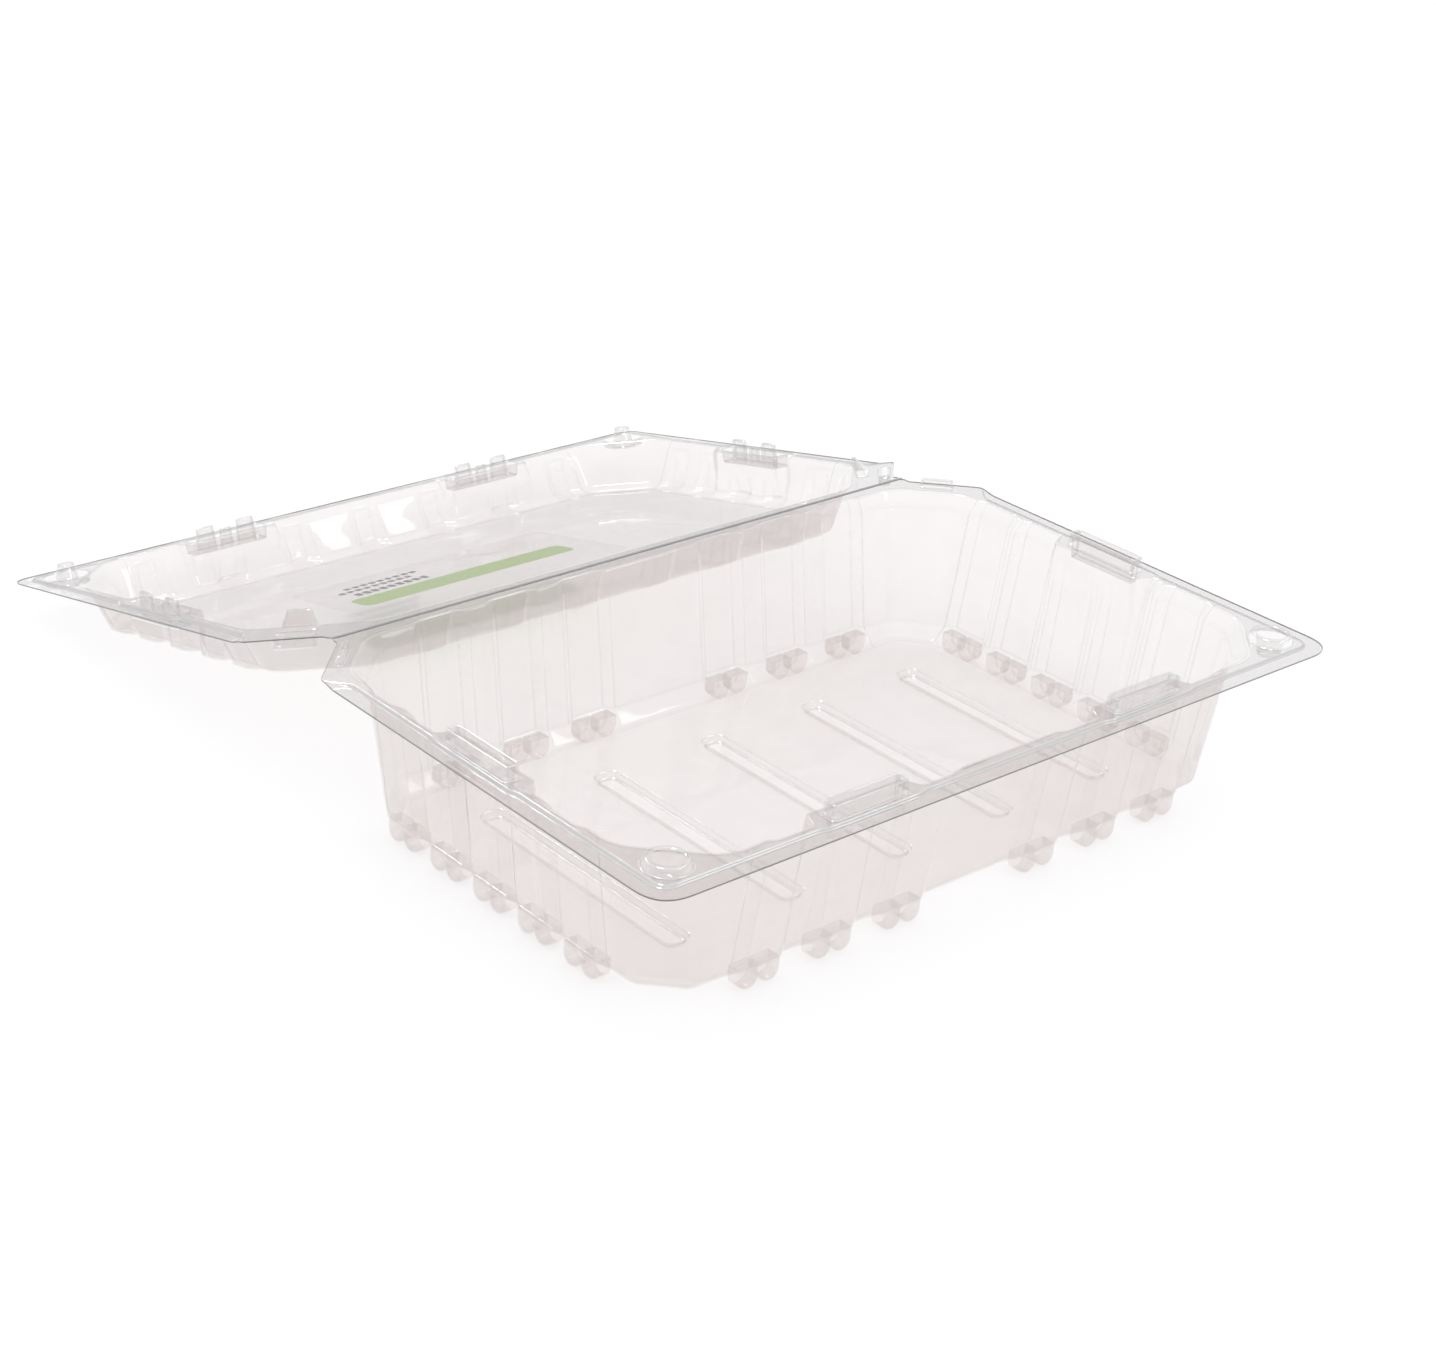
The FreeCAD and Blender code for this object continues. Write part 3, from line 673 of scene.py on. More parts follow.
    def ring(self, fold: Fold) -> np.ndarray:
        """A whole fold line round the pan, as an (n, 3) array."""
        walls = [self.wall_line(fold, side) for side in SIDES]
        parts = []
        for number, side in enumerate(SIDES):
            after = walls[(number + 1) % len(SIDES)]
            parts += [walls[number], self.corner_line(fold, side, walls[number][-1], after[0])]
        return at_height(np.vstack(parts), fold.z)

    def column_names(self) -> list[str]:
        """The piece that each column of the walls belongs to."""
        names = []
        fold = self.folds[0]
        walls = [self.wall_line(fold, side) for side in SIDES]
        for number, side in enumerate(SIDES):
            after = walls[(number + 1) % len(SIDES)]
            corner = len(self.corner_line(fold, side, walls[number][-1], after[0]))
            end = self.names[Side.FAR if side in (Side.FAR, Side.LEFT) else Side.HINGE]
            hand = "right" if side in (Side.FAR, Side.RIGHT) else "left"
            names += [f"{self.label}_{self.names[side]}_wall"] * (len(walls[number]) - 1)
            names += [f"{self.label}_{end}_{hand}_corner"] * (corner + 1)
        return names

    def rim_rings(self) -> list[np.ndarray]:
        """The rim's outline and its step, from the cut edge inwards."""
        half, far, gap = self.length / 2, -self.width, -self.hinge_gap
        ear_x = half - self.chamfer + self.ear
        ear_y = ear_x - half + self.chamfer
        right = [
            (half, far, self.corner_radius),
            (half, -self.chamfer, self.chamfer_radius),
            (ear_x, -ear_y, self.ear_radii[0]),
            (ear_x, gap, self.ear_radii[1]),
        ]
        left = [(-x, y, radius) for x, y, radius in reversed(right)]
        edge = Outline(tuple(right + left))
        pieces = edge.pieces(self.rim_spacing)
        outline = edge.points(pieces)
        reach = STEP_PROFILE[-1][0]
        inward = (edge.drawn_in(reach).points(pieces) - outline) / reach
        x, y = outline[:, 0], outline[:, 1]
        full = 1.0 - smooth_step(y, *self.step_end)
        scale = self.step_scale_at_hinge + (1.0 - self.step_scale_at_hinge) * full
        on_far = y < far + self.corner_radius + 1.0
        bar = np.where(on_far, self.near_bar(Side.FAR, x), self.near_bar(Side.RIGHT, y))
        scale = scale * (1.0 - (1.0 - self.step_scale_at_bar) * bar)
        snap = np.hypot(np.abs(x) - (half - self.snap_inset), y - (far + self.snap_inset))
        near_snap = 1.0 - smooth_step(snap, *self.snap_clear)
        scale = scale * (1.0 - (1.0 - self.step_scale_at_snap) * near_snap)
        rings = []
        for inset, share in STEP_PROFILE:
            place = outline + inward * (inset * scale)[:, None]
            rings.append(at_height(place, share * self.step_drop * full))
        return rings

    def build_skin(self, rim_holes: list[np.ndarray], floor_holes: list[np.ndarray], floor_name: str) -> Skin:
        """Rim, land, walls and floor as one skin.

        Args:
            rim_holes: outlines that features take out of the land.
            floor_holes: outlines that features take out of the floor.
            floor_name: the floor's piece name.

        Returns:
            The skin, still open at those holes.
        """
        skin = Skin(self.sheet)
        rim = f"{self.label}_rim"
        edge = self.rim_rings()
        skin.add_rings(edge, rim, cut_edge=True)
        mouth, floor = self.folds[0], self.folds[-1]
        support, start = (self.ring(mouth.moved(by)) for by in self.mouth_borders)
        last, border = (self.ring(floor.moved(by)) for by in self.floor_borders)
        skin.add_rings([support, start], rim)
        skin.add_plate(edge[-1], [support, *rim_holes], rim)
        rings = [start] + [self.ring(fold) for fold in self.folds] + [last]
        softness = [0.0] + [fold.soft for fold in self.folds] + [0.0]
        skin.add_rings(soften(rings, softness, 5), self.column_names())
        skin.add_rings([last, border], floor_name)
        skin.add_plate(border, floor_holes, floor_name)
        return skin


@dataclass(frozen=True)
class Stamp:
    """A small form pressed into a flat face: outlines that grow or shrink about one shape, and their heights.

    outline makes the shape at a growth in mm. profile lists growth, height and rounding, from the outside in.
    """

    name: str
    outline: Callable[[float, float], np.ndarray]
    profile: Sequence[tuple[float, float, float]]
    base: float = 0.0
    lead: float = 0.45

    def hole(self) -> np.ndarray:
        """The outline that the form takes out of the flat face, with its height."""
        return at_height(self.outline(self.lead, 0.0), self.base)

    def press(self, skin: Skin) -> None:
        """Adds the form to a skin."""
        steps = [(self.lead, 0.0, 0.0), (self.lead * 0.6, 0.0, 0.0), *self.profile]
        rings = [at_height(self.outline(grow, z), self.base + z) for grow, z, _ in steps]
        skin.add_rings(soften(rings, [soft for _, _, soft in steps], 4), self.name, cap=True)


# ---- sub-assemblies ------------------------------------------------------------------------------------
@dataclass(frozen=True)
class Frame:
    """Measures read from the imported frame, in mm and radians."""

    length: float
    width: float
    rim_height: float
    hinge_y: float
    pivot_z: float
    tilt: float

    @classmethod
    def read(cls, frame: dict) -> "Frame":
        """Takes the measures from the frame's nodes and its hinge."""
        low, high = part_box("tray_front_rim")
        left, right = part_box("tray_left_rim")[0].x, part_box("tray_right_rim")[1].x
        hinge = frame["joints"][0]
        x, y, z = hinge["pos_m"]
        closed = math.radians(hinge["range_deg"][1])
        return cls(
            length=(right - left) / MM,
            width=(y - low.y) / MM,
            rim_height=high.z / MM,
            hinge_y=y / MM,
            pivot_z=z / MM,
            tilt=closed - math.pi,
        )

    def tray_place(self, points: np.ndarray) -> np.ndarray:
        """Takes points from the pan's frame to the tray, in metres."""
        return (points + np.array([0.0, self.hinge_y, self.rim_height])) * MM

    def lid_place(self, points: np.ndarray) -> np.ndarray:
        """Turns points of the pan over the hinge and lays them on the open lid, in metres."""
        x, across, up = points[:, 0], -points[:, 1], points[:, 2] - (self.pivot_z - self.rim_height)
        y = self.hinge_y + across * math.cos(self.tilt) + up * math.sin(self.tilt)
        z = self.pivot_z - across * math.sin(self.tilt) + up * math.cos(self.tilt)
        return np.column_stack([x, y, z]) * MM

    def place(self, body: Body) -> Callable[[np.ndarray], np.ndarray]:
        """The placing function of a body."""
        return self.tray_place if body is Body.TRAY else self.lid_place


def straight_outline(centre: tuple[float, float], half: tuple[float, float], radius: float,
                     turn: float = 0.0) -> Callable[[float, float], np.ndarray]:
    """An outline maker for a round-cornered bar that grows evenly and keeps its place at every height."""

    def outline(grow: float, _height: float) -> np.ndarray:
        """The outline at a growth."""
        size = (half[0] + grow, half[1] + grow)
        return rounded_rectangle(centre, size, max(0.35, radius + 0.6 * grow), turn)

    return outline


def round_outline(centre: tuple[float, float], radius: float) -> Callable[[float, float], np.ndarray]:
    """An outline maker for a round form."""

    def outline(grow: float, _height: float) -> np.ndarray:
        """The outline at a growth."""
        return circle(centre, radius + grow)

    return outline


@dataclass
class FormedPan:
    """A pan with its pressed forms, which builds and dresses its own pieces."""

    frame: Frame
    pan: Pan
    wall_finish: bpy.types.Material
    rim_finish: bpy.types.Material
    form_finish: bpy.types.Material
    bar_half: tuple[float, float] = (15.0, 3.0)
    bar_inset: float = 9.3

    def bar_centre(self, side: Side, along: float) -> tuple[float, float]:
        """The middle of a bar on the rim."""
        if side is Side.FAR:
            return along, -self.pan.width + self.bar_inset
        sign = 1 if side is Side.RIGHT else -1
        return sign * (self.pan.length / 2 - self.bar_inset), along

    def bar_outline(self, side: Side, along: float, clear: float) -> Callable[[float, float], np.ndarray]:
        """The outline maker of a bar, or of a pocket that clears it."""
        turn = 0.0 if side is Side.FAR else math.pi / 2
        half = (self.bar_half[0] + clear, self.bar_half[1] + clear)
        return straight_outline(self.bar_centre(side, along), half, 1.6 + clear / 2, turn)

    def bar_list(self) -> list[tuple[str, Side, float]]:
        """Every bar's name ending, edge and place along it."""
        far = self.pan.names[Side.FAR]
        places = [(f"{far}_left", Side.FAR, min(self.pan.bars[Side.FAR]))]
        places.append((f"{far}_right", Side.FAR, max(self.pan.bars[Side.FAR])))
        return places + [(side.value, side, self.pan.bars[side][0]) for side in (Side.LEFT, Side.RIGHT)]

    def snap_centre(self, sign: int) -> tuple[float, float]:
        """The middle of a far corner's snap."""
        return sign * (self.pan.length / 2 - self.pan.snap_inset), -self.pan.width + self.pan.snap_inset

    def corner_spot(self, sign: int, cut: float) -> tuple[float, float]:
        """A place on a hinge-side corner's middle line, at a corner cut."""
        return sign * (self.pan.length / 2 - cut / 2), -cut / 2

    def finish_of(self, name: str) -> bpy.types.Material:
        """The finish of a piece: the rim has a tint of its own, and small forms are drawn thinnest."""
        if name.endswith("_rim"):
            return self.rim_finish
        walls = (f"{self.pan.label}_", "hinge_lug")
        return self.wall_finish if name.startswith(walls) else self.form_finish

    def sheet_nodes(self) -> dict[str, list[str]]:
        """The frame's nodes that the rim, the walls and the corners stand for, by piece name."""
        label, names = self.pan.label, self.pan.names
        rim = f"{label}_rim"
        nodes = {rim: [f"{label}_{word}_rim" for word in names.values()]}
        for end in (names[Side.FAR], names[Side.HINGE]):
            for hand in ("left", "right"):
                nodes[rim].append(f"{label}_{end}_{hand}_web")
                nodes[f"{label}_{end}_{hand}_corner"] = [f"{label}_{end}_{hand}_corner"]
        for word in names.values():
            nodes[f"{label}_{word}_wall"] = [f"{label}_{word}_wall"]
        return nodes

    def dress(self, skin: Skin, stands_for: dict[str, list[str]]) -> None:
        """Makes every piece of a skin an object that rides on its body.

        Args:
            skin: the finished skin.
            stands_for: the frame's nodes that a piece replaces, by piece name.
        """
        flip = self.pan.body is Body.LID
        for name, shell in skin.pieces().items():
            mesh = shell.mesh(name, self.frame.place(self.pan.body), flip)
            piece = show(mesh, f"{name}_skin", self.finish_of(name))
            attach(piece, self.pan.body, stands_for.get(name, []))


def attach(piece: bpy.types.Object, body: Body, nodes: Sequence[str] = ()) -> None:
    """Rides a piece on its body, hides the nodes that it stands for, and logs it."""
    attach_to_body(piece, body.value)
    if nodes:
        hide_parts(*nodes)
    LOG.info("%s rides on %s, %d faces", piece.name, body.value, len(piece.data.polygons))


@dataclass
class Tray(FormedPan):
    """The deep tray: closure bars, snap sockets, rear bars and floor bars on its skin."""

    bar_height: float = 4.5
    slot_depth: float = 4.5
    boss_radius: float = 7.25
    boss_height: float = 2.5
    recess_depth: float = 5.0
    rear_bar_cut: float = 26.8
    rear_bar_half: tuple[float, float] = (6.0, 1.27)
    rear_bar_height: float = 3.0
    floor_bar_pitch: float = 45.0
    floor_bar_count: int = 5
    floor_bar_half: tuple[float, float] = (4.5, 46.0)
    floor_bar_depth: float = 2.1

    def stamps(self) -> list[Stamp]:
        """The forms pressed into the rim."""
        height, depth = self.bar_height, -self.slot_depth
        bar = (
            (0.0, 0.0, 0.35),
            (-0.45, height, 0.5),
            (-1.3, height, 0.35),
            (-1.75, depth, 0.5),
            (-2.2, depth, 0.0),
        )
        boss, recess = self.boss_height, -self.recess_depth
        ring = (
            (0.0, 0.0, 0.35),
            (-0.85, boss, 0.5),
            (-2.5, boss, 0.5),
            (-3.75, recess, 0.9),
            (-5.6, recess, 0.0),
        )
        rear = (
            (0.0, 0.0, 0.3),
            (-0.45, self.rear_bar_height, 0.5),
            (-0.95, self.rear_bar_height, 0.0),
        )
        forms = [
            Stamp(f"closure_bar_{ending}", self.bar_outline(side, along, 0.0), bar)
            for ending, side, along in self.bar_list()
        ]
        for sign, hand in HANDS:
            outline = round_outline(self.snap_centre(sign), self.boss_radius)
            forms.append(Stamp(f"snap_socket_{hand}", outline, ring))
            spot = self.corner_spot(sign, self.rear_bar_cut)
            outline = straight_outline(spot, self.rear_bar_half, 1.1, -sign * math.pi / 4)
            forms.append(Stamp(f"rear_bar_{hand}", outline, rear))
        return forms

    def floor_bars(self) -> list[Stamp]:
        """The bars pressed down to the table."""
        bottom = self.pan.folds[-1]
        middle = -(self.pan.width - bottom.far + bottom.hinge) / 2
        low = -self.floor_bar_depth
        profile = ((0.0, 0.0, 0.5), (-1.0, low, 0.7), (-1.9, low, 0.0))
        first = -(self.floor_bar_count - 1) / 2
        bars = []
        for number in range(self.floor_bar_count):
            x = (first + number) * self.floor_bar_pitch
            outline = straight_outline((x, middle), self.floor_bar_half, 3.0)
            bars.append(Stamp("tray_floor", outline, profile, bottom.z, 0.8))
        return bars

    def build(self) -> None:
        """Makes the tray's sheet."""
        stamps, bars = self.stamps(), self.floor_bars()
        rim_holes = [form.hole() for form in stamps]
        skin = self.pan.build_skin(rim_holes, [bar.hole() for bar in bars], "tray_floor")
        for form in (*stamps, *bars):
            form.press(skin)
        nodes = {form.name: [form.name] for form in stamps}
        nodes["tray_floor"] = ["tray_floor"]
        nodes.update(self.sheet_nodes())
        self.dress(skin, nodes)


@dataclass
class Lid(FormedPan):
    """The shallow lid: latch pockets, snap buttons, hinge lugs and the pockets that clear the tray's bars."""

    pocket_clearance: float = 0.8
    pocket_depth: float = 4.9
    button_pocket_radius: float = 7.85
    button_pocket_depth: float = 3.0
    button_height: float = 4.3
    rear_pocket_cut: float = 26.8
    rear_pocket_half: tuple[float, float] = (6.7, 1.97)
    rear_pocket_depth: float = 3.6
    lug_cuts: tuple[float, float] = (38.1, 42.2)
    lug_root_half: tuple[float, float] = (6.0, 2.2)
    lug_tip_half: tuple[float, float] = (4.0, 0.9)
    lug_height: float = 5.5

    def lug_outline(self, sign: int) -> Callable[[float, float], np.ndarray]:
        """The outline maker of a hinge lug, which leans towards the opening."""

        def outline(grow: float, height: float) -> np.ndarray:
            """The outline at a growth and a height."""
            share = max(0.0, height) / self.lug_height
            cut = self.lug_cuts[0] + (self.lug_cuts[1] - self.lug_cuts[0]) * share
            ends = zip(self.lug_root_half, self.lug_tip_half)
            half = [root + (tip - root) * share + grow for root, tip in ends]
            spot = self.corner_spot(sign, cut)
            return rounded_rectangle(spot, (half[0], half[1]), 1.0, -sign * math.pi / 4)

        return outline

    def stamps(self) -> list[Stamp]:
        """The forms pressed into the rim."""
        floor = -self.pocket_depth
        pocket = (
            (0.0, 0.0, 0.35),
            (-0.45, floor, 0.6),
            (-1.5, floor, 0.0),
        )
        low, high = -self.button_pocket_depth, self.button_height
        button = (
            (0.0, 0.0, 0.35),
            (-0.5, low, 0.6),
            (-3.55, low, 0.6),
            (-4.75, high, 0.9),
            (-6.3, high + 0.2, 0.0),
        )
        rear = (
            (0.0, 0.0, 0.3),
            (-0.1, -self.rear_pocket_depth, 0.5),
            (-0.9, -self.rear_pocket_depth, 0.0),
        )
        lug = (
            (0.0, 0.0, 0.4),
            (0.0, self.lug_height, 0.5),
            (-0.5, self.lug_height, 0.0),
        )
        forms = [
            Stamp(f"latch_{ending}", self.bar_outline(side, along, self.pocket_clearance), pocket)
            for ending, side, along in self.bar_list()
        ]
        for sign, hand in HANDS:
            outline = round_outline(self.snap_centre(sign), self.button_pocket_radius)
            forms.append(Stamp(f"snap_button_{hand}", outline, button, lead=0.4))
            spot = self.corner_spot(sign, self.rear_pocket_cut)
            outline = straight_outline(spot, self.rear_pocket_half, 1.2, -sign * math.pi / 4)
            forms.append(Stamp(f"rear_pocket_{hand}", outline, rear, lead=0.25))
            forms.append(Stamp(f"hinge_lug_{hand}", self.lug_outline(sign), lug, lead=0.3))
        return forms

    def build(self) -> None:
        """Makes the lid's sheet."""
        stamps = self.stamps()
        skin = self.pan.build_skin([form.hole() for form in stamps], [], "lid_panel")
        for form in stamps:
            form.press(skin)
        nodes = {form.name: [form.name] for form in stamps if not form.name.startswith("rear_pocket")}
        nodes["lid_panel"] = ["lid_panel"]
        nodes.update(self.sheet_nodes())
        self.dress(skin, nodes)


# ---- what repeats --------------------------------------------------------------------------------------
def math_node(tree: Nodes, operation: str, second: float | None = None,
              clamp: bool = False) -> bpy.types.Node:
    """A math node.

    Args:
        tree: the tree that it is added to.
        operation: what it does.
        second: its second value, where that is a constant.
        clamp: keeps its result between 0 and 1.

    Returns:
        The node.
    """
    node = tree.nodes.new("ShaderNodeMath")
    node.operation = operation
    node.use_clamp = clamp
    if second is not None:
        node.inputs[1].default_value = second
    return node


class PlacedForms:
    """A Geometry Nodes tree that sets rows of one form on points, each turned and sized by the point."""

    def __init__(self) -> None:
        """Builds the tree with its named inputs."""
        tree = bpy.data.node_groups.new("Placed forms", "GeometryNodeTree")
        face = tree.interface
        face.new_socket("Geometry", in_out="OUTPUT", socket_type="NodeSocketGeometry")
        face.new_socket("Geometry", in_out="INPUT", socket_type="NodeSocketGeometry")
        self.keys = {}
        kinds = {"Form": "Object", "Copies": "Int", "Spacing": "Float", "Finish": "Material"}
        for label, kind in kinds.items():
            item = face.new_socket(label, in_out="INPUT", socket_type=f"NodeSocket{kind}")
            self.keys[label] = item.identifier
        make, link = tree.nodes.new, tree.links.new
        given, result = make("NodeGroupInput"), make("NodeGroupOutput")
        line, step = make("GeometryNodeMeshLine"), make("ShaderNodeCombineXYZ")
        less, half = math_node(tree, "SUBTRACT", 1.0), math_node(tree, "MULTIPLY", -0.5)
        start = make("ShaderNodeVectorMath")
        start.operation = "SCALE"
        link(given.outputs["Copies"], less.inputs[0])
        link(less.outputs[0], half.inputs[0])
        link(given.outputs["Spacing"], step.inputs["X"])
        link(step.outputs[0], start.inputs[0])
        link(half.outputs[0], start.inputs["Scale"])
        link(given.outputs["Copies"], line.inputs["Count"])
        link(start.outputs[0], line.inputs["Start Location"])
        link(step.outputs[0], line.inputs["Offset"])
        form = make("GeometryNodeObjectInfo")
        form.transform_space = "ORIGINAL"
        link(given.outputs["Form"], form.inputs["Object"])
        row, spread = make("GeometryNodeInstanceOnPoints"), make("GeometryNodeInstanceOnPoints")
        turn, size = make("GeometryNodeInputNamedAttribute"), make("GeometryNodeInputNamedAttribute")
        for node, label in ((turn, "turn"), (size, "size")):
            node.data_type = "FLOAT_VECTOR"
            node.inputs["Name"].default_value = label
        rotation = make("FunctionNodeEulerToRotation")
        link(line.outputs["Mesh"], row.inputs["Points"])
        link(form.outputs["Geometry"], row.inputs["Instance"])
        link(given.outputs["Geometry"], spread.inputs["Points"])
        link(row.outputs["Instances"], spread.inputs["Instance"])
        link(turn.outputs["Attribute"], rotation.inputs["Euler"])
        link(rotation.outputs["Rotation"], spread.inputs["Rotation"])
        link(size.outputs["Attribute"], spread.inputs["Scale"])
        real, paint = make("GeometryNodeRealizeInstances"), make("GeometryNodeSetMaterial")
        link(spread.outputs["Instances"], real.inputs["Geometry"])
        link(real.outputs["Geometry"], paint.inputs["Geometry"])
        link(given.outputs["Finish"], paint.inputs["Material"])
        link(paint.outputs["Geometry"], result.inputs["Geometry"])
        self.tree = tree

    def make(self, name: str, form: bpy.types.Mesh, places: Sequence[Vector], turns: Sequence[Vector],
             sizes: Sequence[Vector], finish: bpy.types.Material, copies: int = 1,
             spacing: float = 0.0) -> bpy.types.Object:
        """Runs the tree on points and keeps its result as a plain mesh.

        Args:
            name: the piece's name.
            form: the mesh that is repeated, in metres about its own foot.
            places: the points, in metres.
            turns: rotation at each point, as Euler angles.
            sizes: scale at each point.
            finish: the piece's material.
            copies: forms in the row at each point.
            spacing: distance between them, in metres before the point's own scale.

        Returns:
            The finished piece.
        """
        points = bpy.data.meshes.new(name)
        points.from_pydata([tuple(place) for place in places], [], [])
        for label, values in (("turn", turns), ("size", sizes)):
            attribute = points.attributes.new(label, "FLOAT_VECTOR", "POINT")
            attribute.data.foreach_set("vector", [number for value in values for number in value])
        master = bpy.data.objects.new(f"{name}.form", form)
        bpy.context.scene.collection.objects.link(master)
        piece = bpy.data.objects.new(name, points)
        bpy.context.scene.collection.objects.link(piece)
        modifier = piece.modifiers.new("Placed forms", "NODES")
        modifier.node_group = self.tree
        modifier[self.keys["Form"]] = master
        modifier[self.keys["Copies"]] = copies
        modifier[self.keys["Spacing"]] = spacing
        modifier[self.keys["Finish"]] = finish
        bpy.context.view_layer.update()
        ready = piece.evaluated_get(bpy.context.evaluated_depsgraph_get())
        mesh = bpy.data.meshes.new_from_object(ready)
        piece.modifiers.remove(modifier)
        piece.data = mesh
        bpy.data.meshes.remove(points)
        bpy.data.objects.remove(master)
        mesh.shade_smooth()
        mesh.set_sharp_from_angle(angle=SHARP_ANGLE)
        return piece


def single_shell(rings: list[np.ndarray], thickness: float, name: str,
                 place: Callable[[np.ndarray], np.ndarray]) -> bpy.types.Mesh:
    """A closed shell through rings with its last ring filled, whose faces look out along the rings' rise."""
    skin = Skin(thickness)
    skin.add_rings(rings, name, cap=True)
    return skin.pieces()[name].mesh(name, place, False)


@dataclass
class RibFeet:
    """The two rounded lobes that end every wall rib on the table.

    front_rounding lists how far back from a lobe's front each ring lies and how much it grows, in mm.
    """

    frame: Frame
    pan: Pan
    finish: bpy.types.Material
    radius: float = 3.75
    axis_rise: float = 3.75
    top_rise: float = 7.3
    spacing: float = 8.0
    insets: tuple[float, float] = (17.3, 22.6)
    sole: float = 0.05
    front_rounding: tuple[tuple[float, float], ...] = (
        (1.5, 0.0),
        (0.9, -0.1),
        (0.42, -0.35),
        (0.12, -0.75),
        (0.0, -1.35),
    )

    def lobe_outline(self, grow: float) -> np.ndarray:
        """Section of a lobe across its rib: straight sides over a round sole, as (along, height)."""
        radius = self.radius + grow
        top = self.top_rise + grow
        angles = np.linspace(math.pi, 2 * math.pi, 17)
        sole = np.column_stack([radius * np.cos(angles), self.axis_rise + radius * np.sin(angles)])
        sole[:, 1] = np.maximum(sole[:, 1], self.sole - grow)
        sides = np.array([(radius, (self.axis_rise + top) / 2), (radius, top - 0.4), (radius - 0.4, top),
                          (0.0, top), (0.4 - radius, top), (-radius, top - 0.4),
                          (-radius, (self.axis_rise + top) / 2)])
        return np.vstack([sole, sides])

    def lobe(self) -> bpy.types.Mesh:
        """One lobe standing out along -Y, from its back to its rounded front."""
        depth = self.insets[1] - self.insets[0]
        rings = [at_height(self.lobe_outline(0.0), 0.0)]
        for back, grow in self.front_rounding:
            rings.append(at_height(self.lobe_outline(grow), depth - back))

        def place(points: np.ndarray) -> np.ndarray:
            """Lays the lobe down so that its front faces -Y."""
            return np.column_stack([points[:, 0], -points[:, 2], points[:, 1]]) * MM

        return single_shell(rings, self.pan.sheet, "lobe", place)

    def build(self, forms: PlacedForms) -> None:
        """Sets the lobes of each wall as one piece."""
        lobe = self.lobe()
        half = self.pan.length / 2
        foot = self.pan.folds[-2]
        for side in SIDES:
            inset = self.insets[1] + (foot.hinge - foot.far if side is Side.HINGE else 0.0)
            turn = {Side.FAR: 0.0, Side.RIGHT: 0.5, Side.HINGE: 1.0, Side.LEFT: -0.5}[side] * math.pi
            spots = []
            for rib in self.pan.ribs[side]:
                x, y = {
                    Side.FAR: (rib, -self.pan.width + inset),
                    Side.RIGHT: (half - inset, rib),
                    Side.HINGE: (rib, -inset),
                    Side.LEFT: (inset - half, rib),
                }[side]
                spots.append(Vector((x * MM, (y + self.frame.hinge_y) * MM, 0.0)))
            name = f"feet_{self.pan.names[side]}"
            turns = [Vector((0.0, 0.0, turn))] * len(spots)
            sizes = [Vector((1.0, 1.0, 1.0))] * len(spots)
            piece = forms.make(f"{name}_lobes", lobe, spots, turns, sizes, self.finish, 2, self.spacing * MM)
            attach(piece, Body.TRAY, [name])


@dataclass
class LatchBumps:
    """The bumps that stand in the lid's latch pockets and drop into the closure bars.

    layout lists each bump's place along its pocket, its length and its height over the rim, in mm. profile
    lists a ring's size as a share of the root's and its height as a share of the bump's.
    """

    lid: Lid
    finish: bpy.types.Material
    layout: tuple[tuple[float, float, float], ...] = ((-8.4, 7.8, 3.9), (0.0, 5.0, 1.9), (8.4, 7.8, 3.9))
    root_width: float = 2.4
    tip_share: float = 0.68
    end_taper: float = 0.16
    typical_size: tuple[float, float, float] = (7.68, 2.4, 8.8)
    sheet: float = 0.3
    profile: tuple[tuple[float, float], ...] = (
        (1.0, 0.0),
        (0.9, 0.3),
        (0.8, 0.6),
        (0.74, 0.82),
        (0.66, 0.93),
        (0.5, 0.985),
        (0.3, 1.0),
    )

    def form(self) -> bpy.types.Mesh:
        """A bump of unit length, width and height, whose sheet is even at its typical size."""
        size = np.array(self.typical_size)
        rings = []
        for share, height in self.profile:
            narrowing = self.tip_share + (1 - self.tip_share) * share
            half = (0.5 - (1 - share) * self.end_taper, 0.5 * narrowing * min(1.0, share * 1.5))
            rings.append(at_height(rounded_rectangle((0.0, 0.0), half, 0.2), height) * size)
        return single_shell(rings, self.sheet, "bump", lambda spots: spots / size)

    def build(self, forms: PlacedForms) -> None:
        """Sets the bumps in all four pockets as one piece."""
        places, turns, sizes = [], [], []
        floor = -self.lid.pocket_depth
        tilt = self.lid.frame.tilt
        for _, side, along in self.lid.bar_list():
            x, y = self.lid.bar_centre(side, along)
            for offset, length, height in self.layout:
                spot = (x + offset, y, floor) if side is Side.FAR else (x, y + offset, floor)
                places.append(Vector(self.lid.frame.lid_place(np.array([spot]))[0]))
                turns.append(Vector((-tilt, 0.0, 0.0)) if side is Side.FAR else self.turned(tilt))
                sizes.append(Vector((length, self.root_width, height - floor)) * MM)
        piece = forms.make("latch_bumps", self.form(), places, turns, sizes, self.finish)
        attach(piece, Body.LID)

    def turned(self, tilt: float) -> Vector:
        """The rotation of a bump that runs across the lid."""
        spin = Matrix.Rotation(-tilt, 3, "X") @ Matrix.Rotation(math.pi / 2, 3, "Z")
        return Vector(spin.to_euler())


